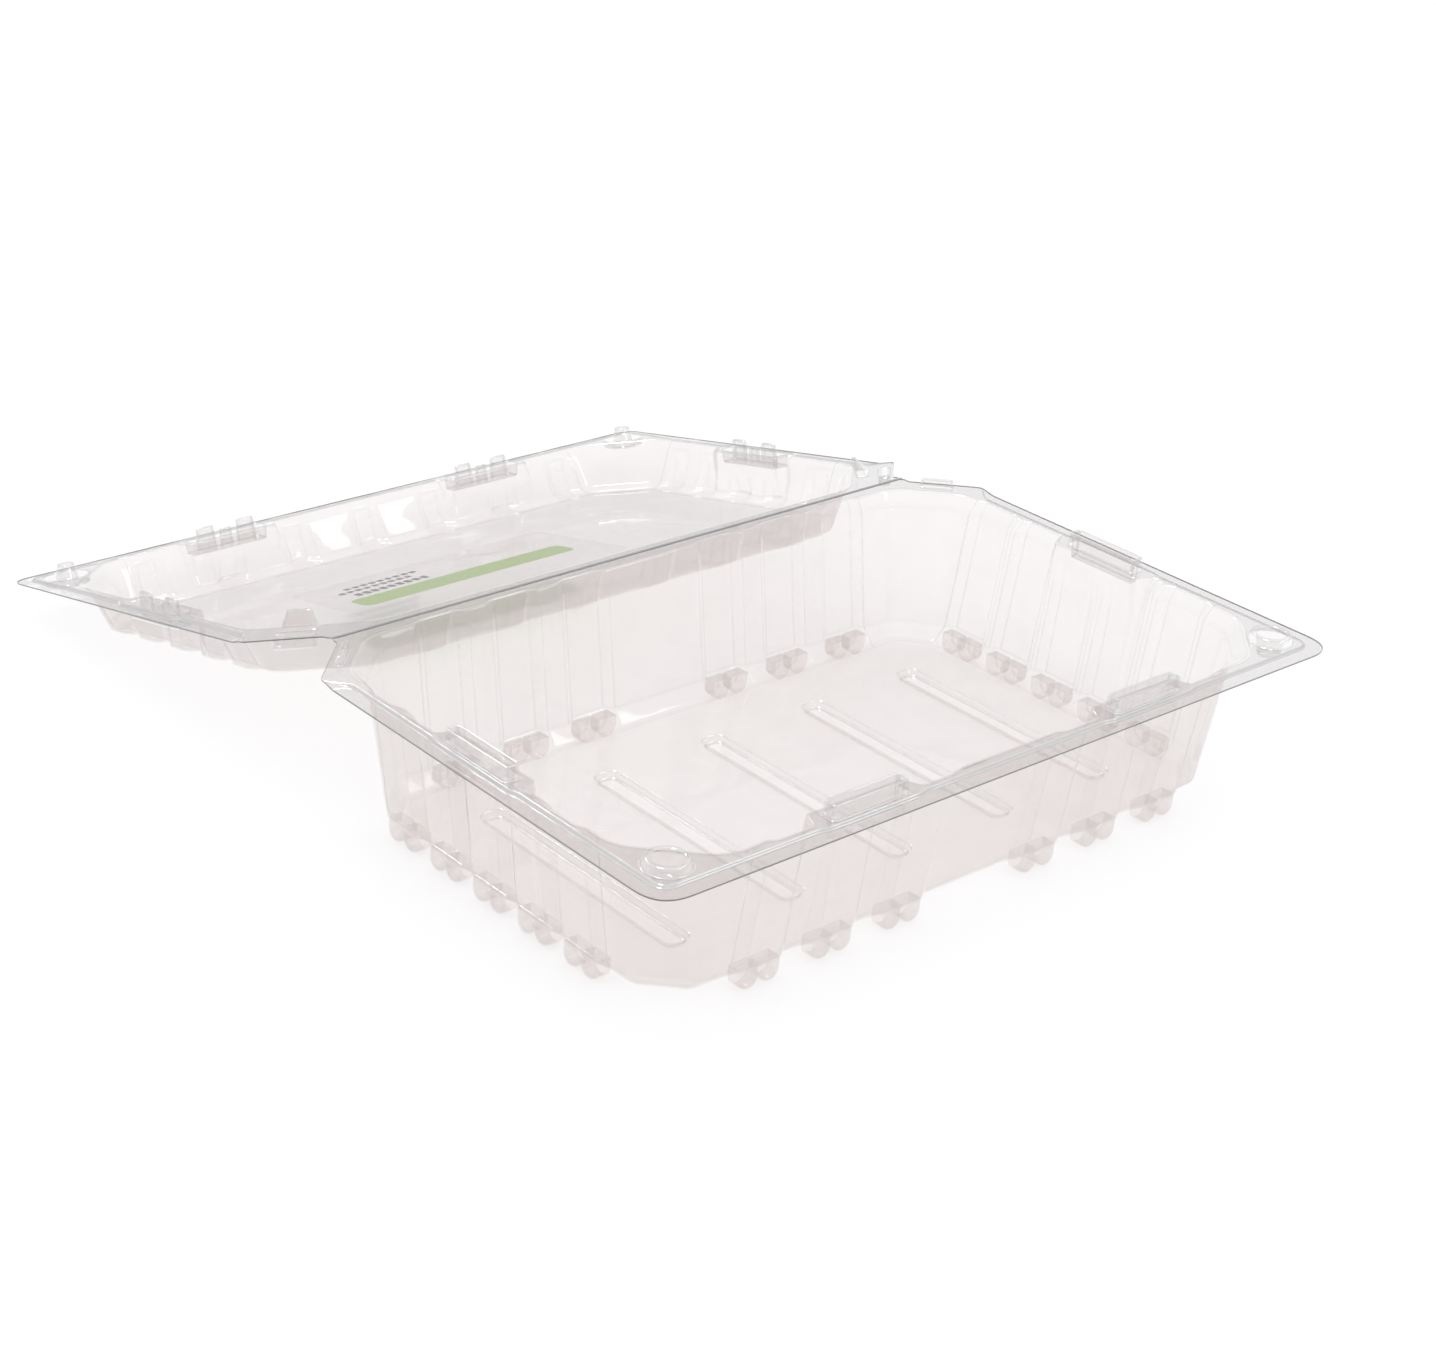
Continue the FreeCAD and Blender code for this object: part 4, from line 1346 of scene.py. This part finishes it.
@dataclass
class PrintedLabel:
    """The clear film label under the lid's panel, with its printed bar and plain strokes.

    stroke_rows lists each row's middle and the height of its strokes, in mm. stroke_pitch counts in stroke
    widths.
    """

    frame: Frame
    film: bpy.types.Material
    bar_ink: bpy.types.Material
    stroke_ink: bpy.types.Material
    panel_depth: float = 17.9
    centre: tuple[float, float] = (-6.0, -96.0)
    half: tuple[float, float] = (56.0, 29.0)
    bar_centre: tuple[float, float] = (-7.0, -92.5)
    bar_half: tuple[float, float] = (46.0, 6.3)
    film_thickness: float = 0.1
    ink_thickness: float = 0.03
    film_gap: float = 0.01
    ink_gap: float = 0.005
    stroke_rows: tuple[tuple[float, float, float], ...] = (
        (-31.0, -104.0, 4.0),
        (-34.0, -110.0, 2.6),
        (-29.0, -114.5, 2.6),
    )
    stroke_width: float = 2.6
    stroke_count: int = 9
    stroke_pitch: float = 1.35

    def plate(self, name: str, outline: np.ndarray, top: float, thickness: float,
              material: bpy.types.Material) -> bpy.types.Object:
        """A thin closed plate under the panel."""
        skin = Skin(thickness)
        skin.add_plate(at_height(outline, top), [], name)
        mesh = skin.pieces()[name].mesh(name, self.frame.lid_place, True)
        return show(mesh, name, material)

    def stroke(self) -> bpy.types.Mesh:
        """One printed stroke, a millimetre long and high before it is sized."""
        skin = Skin(1.0)
        skin.add_plate(at_height(rounded_rectangle((0.0, 0.0), (0.5, 0.5), 0.25), 0.0), [], "stroke")
        return skin.pieces()["stroke"].mesh("stroke", lambda points: points, False)

    def build(self, forms: PlacedForms) -> None:
        """Makes the film, the bar and the rows of strokes."""
        top = -self.panel_depth - self.film_gap
        outline = rounded_rectangle(self.centre, self.half, 6.0)
        film = self.plate("label_film", outline, top, self.film_thickness, self.film)
        attach(film, Body.LID, ["label"])
        ink_top = top - self.film_thickness - self.ink_gap
        outline = rounded_rectangle(self.bar_centre, self.bar_half, 3.0)
        bar = self.plate("label_bar", outline, ink_top, self.ink_thickness, self.bar_ink)
        attach(bar, Body.LID)
        places, sizes = [], []
        for x, y, height in self.stroke_rows:
            places.append(Vector(self.frame.lid_place(np.array([[x, y, ink_top]]))[0]))
            sizes.append(Vector((self.stroke_width, height, self.ink_thickness)) * MM)
        turns = [Vector((-self.frame.tilt, 0.0, 0.0))] * len(places)
        strokes = forms.make("label_strokes", self.stroke(), places, turns, sizes, self.stroke_ink,
                             self.stroke_count, self.stroke_pitch)
        attach(strokes, Body.LID)


@dataclass
class LivingHinge:
    """The thinned web that the two rims share along the fold, with its ridge in mm and its painted fold
    shade.
    """

    frame: Frame
    pan: Pan
    finish: bpy.types.Material
    thickness: float = 0.25
    ridge: float = 0.25
    steps: int = 8
    side_painted_shade: float = 0.7

    def build(self) -> None:
        """Makes the web as one strip curved from the tray's rim to the open lid's rim."""
        pan, steps = self.pan, self.steps
        half = pan.length / 2 - pan.chamfer + pan.ear
        ends = np.array([half - 0.4, half])
        along = np.concatenate([-ends[::-1], np.linspace(-half + 4.0, half - 4.0, 60), ends])
        size = len(along)
        edge = np.column_stack([along, np.full(size, -pan.hinge_gap), np.zeros(size)])
        tray_edge = self.frame.tray_place(edge) / MM
        lid_edge = self.frame.lid_place(edge) / MM
        middle = (tray_edge + lid_edge) / 2 + np.array([0.0, 0.0, self.ridge])
        rows = [bezier(tray_edge, middle, lid_edge, step / steps) for step in range(steps + 1)]
        faces = []
        for row in range(steps):
            for column in range(size - 1):
                low, high = row * size + column, (row + 1) * size + column
                faces.append((low, low + 1, high + 1, high))
        # Painted shade: the web is drawn dark along its middle and nearly as dark to either side.
        marks = np.where(np.arange(steps + 1) == steps // 2, 1.0, self.side_painted_shade)
        skin = Skin(self.thickness)
        skin.add(np.vstack(rows), faces, "living_hinge", np.repeat(marks, size))
        mesh = skin.pieces()["living_hinge"].mesh("hinge_web", lambda points: points * MM, False)
        piece = show(mesh, "hinge_web", self.finish)
        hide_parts("living_hinge")
        start, end = (tuple(place[0] * (0, MM, MM)) for place in (tray_edge, lid_edge))
        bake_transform(piece)
        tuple(start)
        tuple(end)
        LOG.info("%s bends between tray and lid", piece.name)


# ---- finishes ------------------------------------------------------------------------------------------
def new_material(name: str) -> tuple[bpy.types.Material, Nodes]:
    """An empty node material and its tree."""
    material = bpy.data.materials.new(name)
    material.use_nodes = True
    material.node_tree.nodes.clear()
    return material, material.node_tree


def principled(tree: Nodes, colour: tuple[float, float, float], roughness: float,
               **plain: float) -> bpy.types.Node:
    """A Principled shader with its constant values set on its own sockets."""
    shader = tree.nodes.new("ShaderNodeBsdfPrincipled")
    shader.inputs["Base Color"].default_value = (*colour, 1.0)
    shader.inputs["Roughness"].default_value = roughness
    for label, value in plain.items():
        shader.inputs[label.replace("_", " ")].default_value = value
    return shader


class SheetEffects:
    """Shader node groups that the clear finishes share."""

    mark_contrast: float = 1.8

    def __init__(self) -> None:
        """Builds the ripple and the line masks."""
        self.ripple = self._ripple()
        self.lines = self._lines()

    @staticmethod
    def _ripple() -> Nodes:
        """Slow waves and a faint haze of formed sheet, by place on the object."""
        tree = bpy.data.node_groups.new("Sheet ripple", "ShaderNodeTree")
        for label in ("Wave Scale", "Haze Scale"):
            tree.interface.new_socket(label, in_out="INPUT", socket_type="NodeSocketFloat")
        for label in ("Height", "Haze"):
            tree.interface.new_socket(label, in_out="OUTPUT", socket_type="NodeSocketFloat")
        make, link = tree.nodes.new, tree.links.new
        given, result = make("NodeGroupInput"), make("NodeGroupOutput")
        place = make("ShaderNodeTexCoord")
        for label, scale, detail in (("Height", "Wave Scale", 2.0), ("Haze", "Haze Scale", 4.0)):
            noise = make("ShaderNodeTexNoise")
            noise.inputs["Detail"].default_value = detail
            link(place.outputs["Object"], noise.inputs["Vector"])
            link(given.outputs[scale], noise.inputs["Scale"])
            link(noise.outputs["Fac"], result.inputs[label])
        return tree

    @classmethod
    def _lines(cls) -> Nodes:
        """Masks for tight folds and for cut edges, from the sheet's own marks, which place painted shade."""
        tree = bpy.data.node_groups.new("Sheet lines", "ShaderNodeTree")
        for label in ("Fold Gain", "Edge Gain"):
            tree.interface.new_socket(label, in_out="INPUT", socket_type="NodeSocketFloat")
        for label in ("Fold", "Edge"):
            tree.interface.new_socket(label, in_out="OUTPUT", socket_type="NodeSocketFloat")
        make, link = tree.nodes.new, tree.links.new
        given, result = make("NodeGroupInput"), make("NodeGroupOutput")
        for label, source, gain in (("Fold", BEND, "Fold Gain"), ("Edge", EDGE, "Edge Gain")):
            mark = make("ShaderNodeAttribute")
            mark.attribute_name = source
            shaped = math_node(tree, "POWER", cls.mark_contrast)
            scaled = math_node(tree, "MULTIPLY", clamp=True)
            link(mark.outputs["Fac"], shaped.inputs[0])
            link(shaped.outputs[0], scaled.inputs[0])
            link(given.outputs[gain], scaled.inputs[1])
            link(scaled.outputs[0], result.inputs[label])
        return tree


@dataclass(frozen=True)
class ClearSheet:
    """Clear formed sheet: it passes tinted light, mirrors by angle, and has painted grey shade on its folds
    and cut edges.

    haze is the cover of the milky veil, fold_gain how much a tight fold mirrors, fold_shade how much painted
    grey shade a fold gets, and edge_gain how much painted dark shade a cut edge gets. wave_height is in
    metres.
    """

    name: str
    tint: tuple[float, float, float] = (0.962, 0.949, 0.945)
    shadow_tint: tuple[float, float, float] = (0.992, 0.992, 0.992)
    mirror_tint: tuple[float, float, float] = (0.97, 0.97, 0.98)
    haze_tint: tuple[float, float, float] = (0.72, 0.70, 0.70)
    # Painted shade: the dark grey that folds and cut edges are given.
    painted_shade_tint: tuple[float, float, float] = (0.14, 0.145, 0.15)
    ior: float = 1.57
    roughness: float = 0.06
    haze: float = 0.08
    fold_gain: float = 0.42
    fold_shade: float = 0.6
    edge_gain: float = 1.0
    wave_scale: float = 26.0
    wave_height: float = 0.0006
    haze_scale: float = 44.2
    haze_roughness: float = 0.35

    def sheet(self, tree: Nodes, ripple: bpy.types.Node, lines: bpy.types.Node) -> bpy.types.Node:
        """The sheet without its gloss: tinted, see-through, hazy, with painted shade on folds and cut edges.

        Args:
            tree: the material's tree.
            ripple: the placed ripple group.
            lines: the placed line masks.

        Returns:
            The shader that mixes the two.
        """
        make, link = tree.nodes.new, tree.links.new
        through = make("ShaderNodeBsdfTransparent")
        through.inputs["Color"].default_value = (*self.tint, 1.0)
        dull = principled(tree, self.haze_tint, self.haze_roughness, IOR=self.ior)
        # Painted shade: the veil's colour runs from the haze tint to dark grey along folds and cut edges.
        shade = make("ShaderNodeMix")
        shade.data_type = "RGBA"
        shade.inputs["A"].default_value = (*self.haze_tint, 1.0)
        shade.inputs["B"].default_value = (*self.painted_shade_tint, 1.0)
        painted_shade_share = math_node(tree, "ADD", clamp=True)
        link(lines.outputs["Edge"], painted_shade_share.inputs[0])
        link(lines.outputs["Fold"], painted_shade_share.inputs[1])
        link(painted_shade_share.outputs[0], shade.inputs["Factor"])
        link(shade.outputs["Result"], dull.inputs["Base Color"])
        veil = math_node(tree, "MULTIPLY", self.haze)
        # Painted grey shade along folds adds to the veil's cover.
        veil_and_painted_fold_shade = math_node(tree, "MULTIPLY_ADD", self.fold_shade)
        cover = math_node(tree, "ADD", clamp=True)
        link(ripple.outputs["Haze"], veil.inputs[0])
        link(lines.outputs["Fold"], veil_and_painted_fold_shade.inputs[0])
        link(veil.outputs[0], veil_and_painted_fold_shade.inputs[2])
        link(veil_and_painted_fold_shade.outputs[0], cover.inputs[0])
        link(lines.outputs["Edge"], cover.inputs[1])
        inner = make("ShaderNodeMixShader")
        link(cover.outputs[0], inner.inputs[0])
        link(through.outputs[0], inner.inputs[1])
        link(dull.outputs[0], inner.inputs[2])
        return inner

    def gloss_share(self, tree: Nodes, lines: bpy.types.Node, bump: bpy.types.Node) -> bpy.types.Node:
        """How much of the light the front face mirrors: by angle, and more along folds.

        Args:
            tree: the material's tree.
            lines: the placed line masks.
            bump: the node that gives the rippled normal.

        Returns:
            The node whose result is the share.
        """
        make, link = tree.nodes.new, tree.links.new
        angle, side = make("ShaderNodeFresnel"), make("ShaderNodeNewGeometry")
        angle.inputs["IOR"].default_value = self.ior
        link(bump.outputs["Normal"], angle.inputs["Normal"])
        shine = math_node(tree, "ADD", clamp=True)
        link(angle.outputs[0], shine.inputs[0])
        link(lines.outputs["Fold"], shine.inputs[1])
        front, facing = math_node(tree, "SUBTRACT"), math_node(tree, "MULTIPLY")
        front.inputs[0].default_value = 1.0
        link(side.outputs["Backfacing"], front.inputs[1])
        link(shine.outputs[0], facing.inputs[0])
        link(front.outputs[0], facing.inputs[1])
        return facing

    def material(self, effects: SheetEffects) -> bpy.types.Material:
        """Builds the finish.

        Args:
            effects: the shared node groups.

        Returns:
            The material.
        """
        material, tree = new_material(self.name)
        make, link = tree.nodes.new, tree.links.new
        ripple, lines = make("ShaderNodeGroup"), make("ShaderNodeGroup")
        ripple.node_tree = effects.ripple
        ripple.inputs["Wave Scale"].default_value = self.wave_scale
        ripple.inputs["Haze Scale"].default_value = self.haze_scale
        lines.node_tree = effects.lines
        lines.inputs["Fold Gain"].default_value = self.fold_gain
        lines.inputs["Edge Gain"].default_value = self.edge_gain
        bump = make("ShaderNodeBump")
        bump.inputs["Strength"].default_value = 1.0
        bump.inputs["Distance"].default_value = self.wave_height
        link(ripple.outputs["Height"], bump.inputs["Height"])
        mirror = principled(tree, self.mirror_tint, self.roughness, Metallic=1.0)
        link(bump.outputs["Normal"], mirror.inputs["Normal"])
        outer = make("ShaderNodeMixShader")
        link(self.gloss_share(tree, lines, bump).outputs[0], outer.inputs[0])
        link(self.sheet(tree, ripple, lines).outputs[0], outer.inputs[1])
        link(mirror.outputs[0], outer.inputs[2])
        path, cast = make("ShaderNodeLightPath"), make("ShaderNodeMixShader")
        pale, result = make("ShaderNodeBsdfTransparent"), make("ShaderNodeOutputMaterial")
        pale.inputs["Color"].default_value = (*self.shadow_tint, 1.0)
        link(path.outputs["Is Shadow Ray"], cast.inputs[0])
        link(outer.outputs[0], cast.inputs[1])
        link(pale.outputs[0], cast.inputs[2])
        link(cast.outputs[0], result.inputs["Surface"])
        return material


@dataclass(frozen=True)
class Ink:
    """Thin printing ink with a slightly uneven laydown."""

    name: str
    colour: tuple[float, float, float]
    roughness: float = 0.45

    def material(self) -> bpy.types.Material:
        """Builds the ink."""
        material, tree = new_material(self.name)
        make, link = tree.nodes.new, tree.links.new
        place, noise, ramp = make("ShaderNodeTexCoord"), make("ShaderNodeTexNoise"), make("ShaderNodeMix")
        noise.inputs["Scale"].default_value = 900.0
        noise.inputs["Detail"].default_value = 3.0
        ramp.data_type = "RGBA"
        ramp.inputs["A"].default_value = (*(0.93 * part for part in self.colour), 1.0)
        ramp.inputs["B"].default_value = (*(min(1.0, 1.06 * part) for part in self.colour), 1.0)
        shader = principled(tree, self.colour, self.roughness)
        result = make("ShaderNodeOutputMaterial")
        link(place.outputs["Object"], noise.inputs["Vector"])
        link(noise.outputs["Fac"], ramp.inputs["Factor"])
        link(ramp.outputs["Result"], shader.inputs["Base Color"])
        link(shader.outputs[0], result.inputs["Surface"])
        return material


@dataclass(frozen=True)
class TableTop:
    """The studio's plain white floor."""

    colour: tuple[float, float, float] = (0.93, 0.93, 0.93)

    def material(self) -> bpy.types.Material:
        """Builds the floor's finish."""
        material, tree = new_material("studio_floor")
        shader = principled(tree, self.colour, 0.7)
        result = tree.nodes.new("ShaderNodeOutputMaterial")
        tree.links.new(shader.outputs[0], result.inputs["Surface"])
        return material


# ---- studio --------------------------------------------------------------------------------------------
@dataclass(frozen=True)
class Window:
    """One rectangular light for the sheet to mirror: its place and size in metres, its power in watts."""

    name: str
    place: tuple[float, float, float]
    size: tuple[float, float]
    power: float


@dataclass
class Studio:
    """Floor, lights, surroundings and camera."""

    azimuth: float = -41.23
    elevation: float = 26.07
    roll: float = 3.43
    eye: tuple[float, float, float] = (-0.5368, -0.6176, 0.4085)
    lens: float = 67.61
    shift: tuple[float, float] = (0.05, 0.0)
    sensor: float = 36.0
    floor_half: float = 6.0
    overhead_angle: float = 14.0
    overhead_power: float = 0.78
    overhead_aim: tuple[float, float, float] = (0.12, -0.2, -1.0)
    world_high: float = 0.9
    world_low: float = 0.58
    backdrop: float = 1.0
    middle: tuple[float, float, float] = (0.0, 0.0, 0.03)
    windows: tuple[Window, ...] = (
        Window("back_window", (0.5, 1.1, 1.1), (0.3, 0.14), 1.35),
        Window("right_window", (0.85, -0.8, 1.1), (0.36, 0.16), 0.55),
        Window("front_window", (0.3, -1.4, 0.8), (0.5, 0.1), 0.62),
    )

    def camera(self) -> None:
        """Sets the camera by its direction, its place and its lens."""
        turn, rise, roll = (math.radians(angle) for angle in (self.azimuth, self.elevation, self.roll))
        back = Vector((math.sin(turn) * math.cos(rise), -math.cos(turn) * math.cos(rise), math.sin(rise)))
        level = Vector((math.cos(turn), math.sin(turn), 0.0))
        upright = back.cross(level)
        right = level * math.cos(roll) + upright * math.sin(roll)
        up = upright * math.cos(roll) - level * math.sin(roll)
        data = bpy.data.cameras.new("camera")
        data.sensor_width = self.sensor
        data.lens = self.lens
        data.shift_x, data.shift_y = self.shift
        data.clip_start = 0.01
        data.clip_end = 50.0
        camera = bpy.data.objects.new("camera", data)
        camera.matrix_world = Matrix(
            [(right[n], up[n], back[n], self.eye[n]) for n in range(3)] + [(0.0, 0.0, 0.0, 1.0)]
        )
        bpy.context.scene.collection.objects.link(camera)
        bpy.context.scene.camera = camera

    def floor(self) -> None:
        """A plain floor at the table's height."""
        half = self.floor_half
        mesh = bpy.data.meshes.new("floor")
        corners = [(-half, -half, 0.0), (half, -half, 0.0), (half, half, 0.0), (-half, half, 0.0)]
        mesh.from_pydata(corners, [], [(0, 1, 2, 3)])
        show(mesh, "floor", TableTop().material())

    def add_window(self, window: Window) -> None:
        """One rectangular area light aimed at the object."""
        data = bpy.data.lights.new(window.name, "AREA")
        data.shape = "RECTANGLE"
        data.size, data.size_y = window.size
        data.energy = window.power
        light = bpy.data.objects.new(window.name, data)
        light.location = window.place
        aim = Vector(self.middle) - Vector(window.place)
        light.rotation_euler = aim.to_track_quat("-Z", "Y").to_euler()
        bpy.context.scene.collection.objects.link(light)

    def lights(self) -> None:
        """An even overhead light and three narrow windows for the sheet to mirror."""
        data = bpy.data.lights.new("overhead", "SUN")
        data.angle = math.radians(self.overhead_angle)
        data.energy = self.overhead_power
        light = bpy.data.objects.new("overhead", data)
        light.rotation_euler = Vector(self.overhead_aim).to_track_quat("-Z", "Y").to_euler()
        bpy.context.scene.collection.objects.link(light)
        for window in self.windows:
            self.add_window(window)

    def surroundings(self) -> None:
        """Even pale surroundings to look at, and a graded room for the sheet to mirror."""
        world = bpy.data.worlds.new("studio")
        bpy.context.scene.world = world
        world.use_nodes = True
        tree = world.node_tree
        tree.nodes.clear()
        make, link = tree.nodes.new, tree.links.new
        place, split = make("ShaderNodeTexCoord"), make("ShaderNodeSeparateXYZ")
        ramp, mix, path = make("ShaderNodeValToRGB"), make("ShaderNodeMix"), make("ShaderNodeLightPath")
        back, result = make("ShaderNodeBackground"), make("ShaderNodeOutputWorld")
        mix.data_type = "RGBA"
        mix.inputs["B"].default_value = (self.backdrop, self.backdrop, self.backdrop, 1.0)
        stops = ramp.color_ramp.elements
        stops[0].position = 0.0
        stops[1].position = 0.75
        stops[0].color = (self.world_low, self.world_low, self.world_low * 1.03, 1.0)
        stops[1].color = (self.world_high, self.world_high, self.world_high, 1.0)
        link(place.outputs["Generated"], split.inputs[0])
        link(split.outputs["Z"], ramp.inputs["Fac"])
        link(ramp.outputs["Color"], mix.inputs["A"])
        link(path.outputs["Is Camera Ray"], mix.inputs["Factor"])
        link(mix.outputs["Result"], back.inputs["Color"])
        link(back.outputs[0], result.inputs["Surface"])

    def build(self) -> None:
        """Sets up the whole studio."""
        scene = bpy.context.scene
        scene.view_settings.view_transform = "Standard"
        scene.cycles.transparent_max_bounces = 64
        self.camera()
        self.floor()
        self.lights()
        self.surroundings()


# ---- this object's own sizes ---------------------------------------------------------------------------
def bar_places(frame: Frame) -> dict[Side, list[float]]:
    """Where the closure bars, and the latch pockets that take them, stand along each edge."""
    return {Side.FAR: [-58.0, 58.0], Side.LEFT: [-frame.width / 2], Side.RIGHT: [-frame.width / 2]}


def tray_pan(frame: Frame) -> Pan:
    """The tray's form."""
    long_ribs = [sign * place for sign in (-1, 1) for place in (85.0, 57.0, 29.0)]
    side_ribs = [-40.0 - 21.5 * number for number in range(5)]
    folds = [
        Fold(9.6, 9.6, 5.5, 41.0, 33.2, 0.0, 1.3, bar_rib=0.0, shelf=5.0, soft=0.8),
        Fold(13.5, 13.5, 8.5, 47.4, 39.0, -4.0, 2.5, bar_rib=0.0, shelf=1.8, soft=1.5),
        Fold(14.63, 14.63, 9.72, 48.92, 40.7, -12.0, 2.5, bar_rib=0.5, shelf=0.7, soft=1.5),
        Fold(19.5, 19.5, 15.0, 55.5, 48.0, -46.5, 2.5, soft=0.9),
        Fold(24.0, 24.5, 19.5, 60.0, 53.0, -51.5, 0.0, soft=1.2),
    ]
    return Pan(
        length=frame.length,
        width=frame.width,
        sheet=0.4,
        folds=folds,
        ribs={Side.FAR: long_ribs, Side.HINGE: long_ribs, Side.LEFT: side_ribs, Side.RIGHT: side_ribs},
        bars=bar_places(frame),
        names={Side.FAR: "front", Side.HINGE: "rear", Side.LEFT: "left", Side.RIGHT: "right"},
        label="tray",
        body=Body.TRAY,
        step_scale_at_bar=0.84,
    )


def lid_pan(frame: Frame) -> Pan:
    """The lid's form."""
    pitch = 31.0
    side_ribs = [-50.5 - 20.2 * number for number in range(5)]
    folds = [
        Fold(9.2, 9.2, 5.0, 41.0, 44.0, 0.0, 0.0, shelf=6.0, soft=0.8),
        Fold(11.5, 11.5, 7.5, 44.3, 47.0, -3.0, 0.3, bar_rib=0.0, shelf=4.2, soft=1.0),
        Fold(13.7, 13.7, 9.7, 47.4, 50.2, -8.0, 2.7, bar_rib=0.2, shelf=1.9, soft=1.6),
        Fold(17.0, 17.0, 13.0, 52.0, 55.0, -15.5, 3.2, soft=0.9),
        Fold(18.9, 18.9, 14.9, 54.75, 57.75, -16.6, 2.5, soft=0.6),
        Fold(20.5, 20.5, 16.5, 57.0, 60.0, -17.5, 0.2, soft=0.8),
    ]
    return Pan(
        length=frame.length,
        width=frame.width,
        sheet=0.4,
        folds=folds,
        ribs={
            Side.FAR: [pitch * number for number in range(-3, 4)],
            Side.HINGE: [pitch * (number + 0.5) for number in range(-3, 3)],
            Side.LEFT: side_ribs,
            Side.RIGHT: side_ribs,
        },
        bars=bar_places(frame),
        names={Side.FAR: "outer", Side.HINGE: "hinge", Side.LEFT: "left", Side.RIGHT: "right"},
        label="lid",
        body=Body.LID,
        step_scale_at_bar=0.72,
        corner_radius=7.0,
        rib_shape=RibShape(half=6.6, crest_half=3.4, soft=0.8),
        step_scale_at_snap=0.86,
    )


def main() -> None:
    """Builds the clamshell's looks and its studio."""
    logging.basicConfig(level=logging.INFO, format="%(message)s")
    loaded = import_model()
    frame = Frame.read(loaded)
    LOG.info("frame %s", frame)
    Studio().build()
    effects = SheetEffects()
    finishes = {
        finish.name: finish.material(effects)
        for finish in (
            ClearSheet("clear_sheet"),
            # The rims get the strongest painted grey shade along their folds, the small forms the weakest,
            # and the film's cut edge a faint painted shade.
            ClearSheet("clear_flange", tint=(0.905, 0.894, 0.892), fold_shade=1.3),
            ClearSheet("clear_lid_flange", tint=(0.965, 0.957, 0.955), fold_shade=1.3),
            ClearSheet("clear_fine", tint=(0.975, 0.972, 0.971), haze=0.04, fold_shade=0.5),
            ClearSheet("label_film", tint=(0.994, 0.992, 0.990), haze=0.02, ior=1.12, edge_gain=0.3),
        )
    }
    clear, fine = finishes["clear_sheet"], finishes["clear_fine"]
    tray, lid = tray_pan(frame), lid_pan(frame)
    Tray(frame, tray, clear, finishes["clear_flange"], fine).build()
    formed_lid = Lid(frame, lid, clear, finishes["clear_lid_flange"], fine)
    formed_lid.build()
    forms = PlacedForms()
    RibFeet(frame, tray, clear).build(forms)
    LatchBumps(formed_lid, fine).build(forms)
    green = Ink("label_green", (0.42, 0.62, 0.16)).material()
    grey = Ink("label_grey", (0.13, 0.13, 0.15)).material()
    PrintedLabel(frame, finishes["label_film"], green, grey).build(forms)
    LivingHinge(frame, tray, clear).build()


if __name__ == "__main__":
    main()
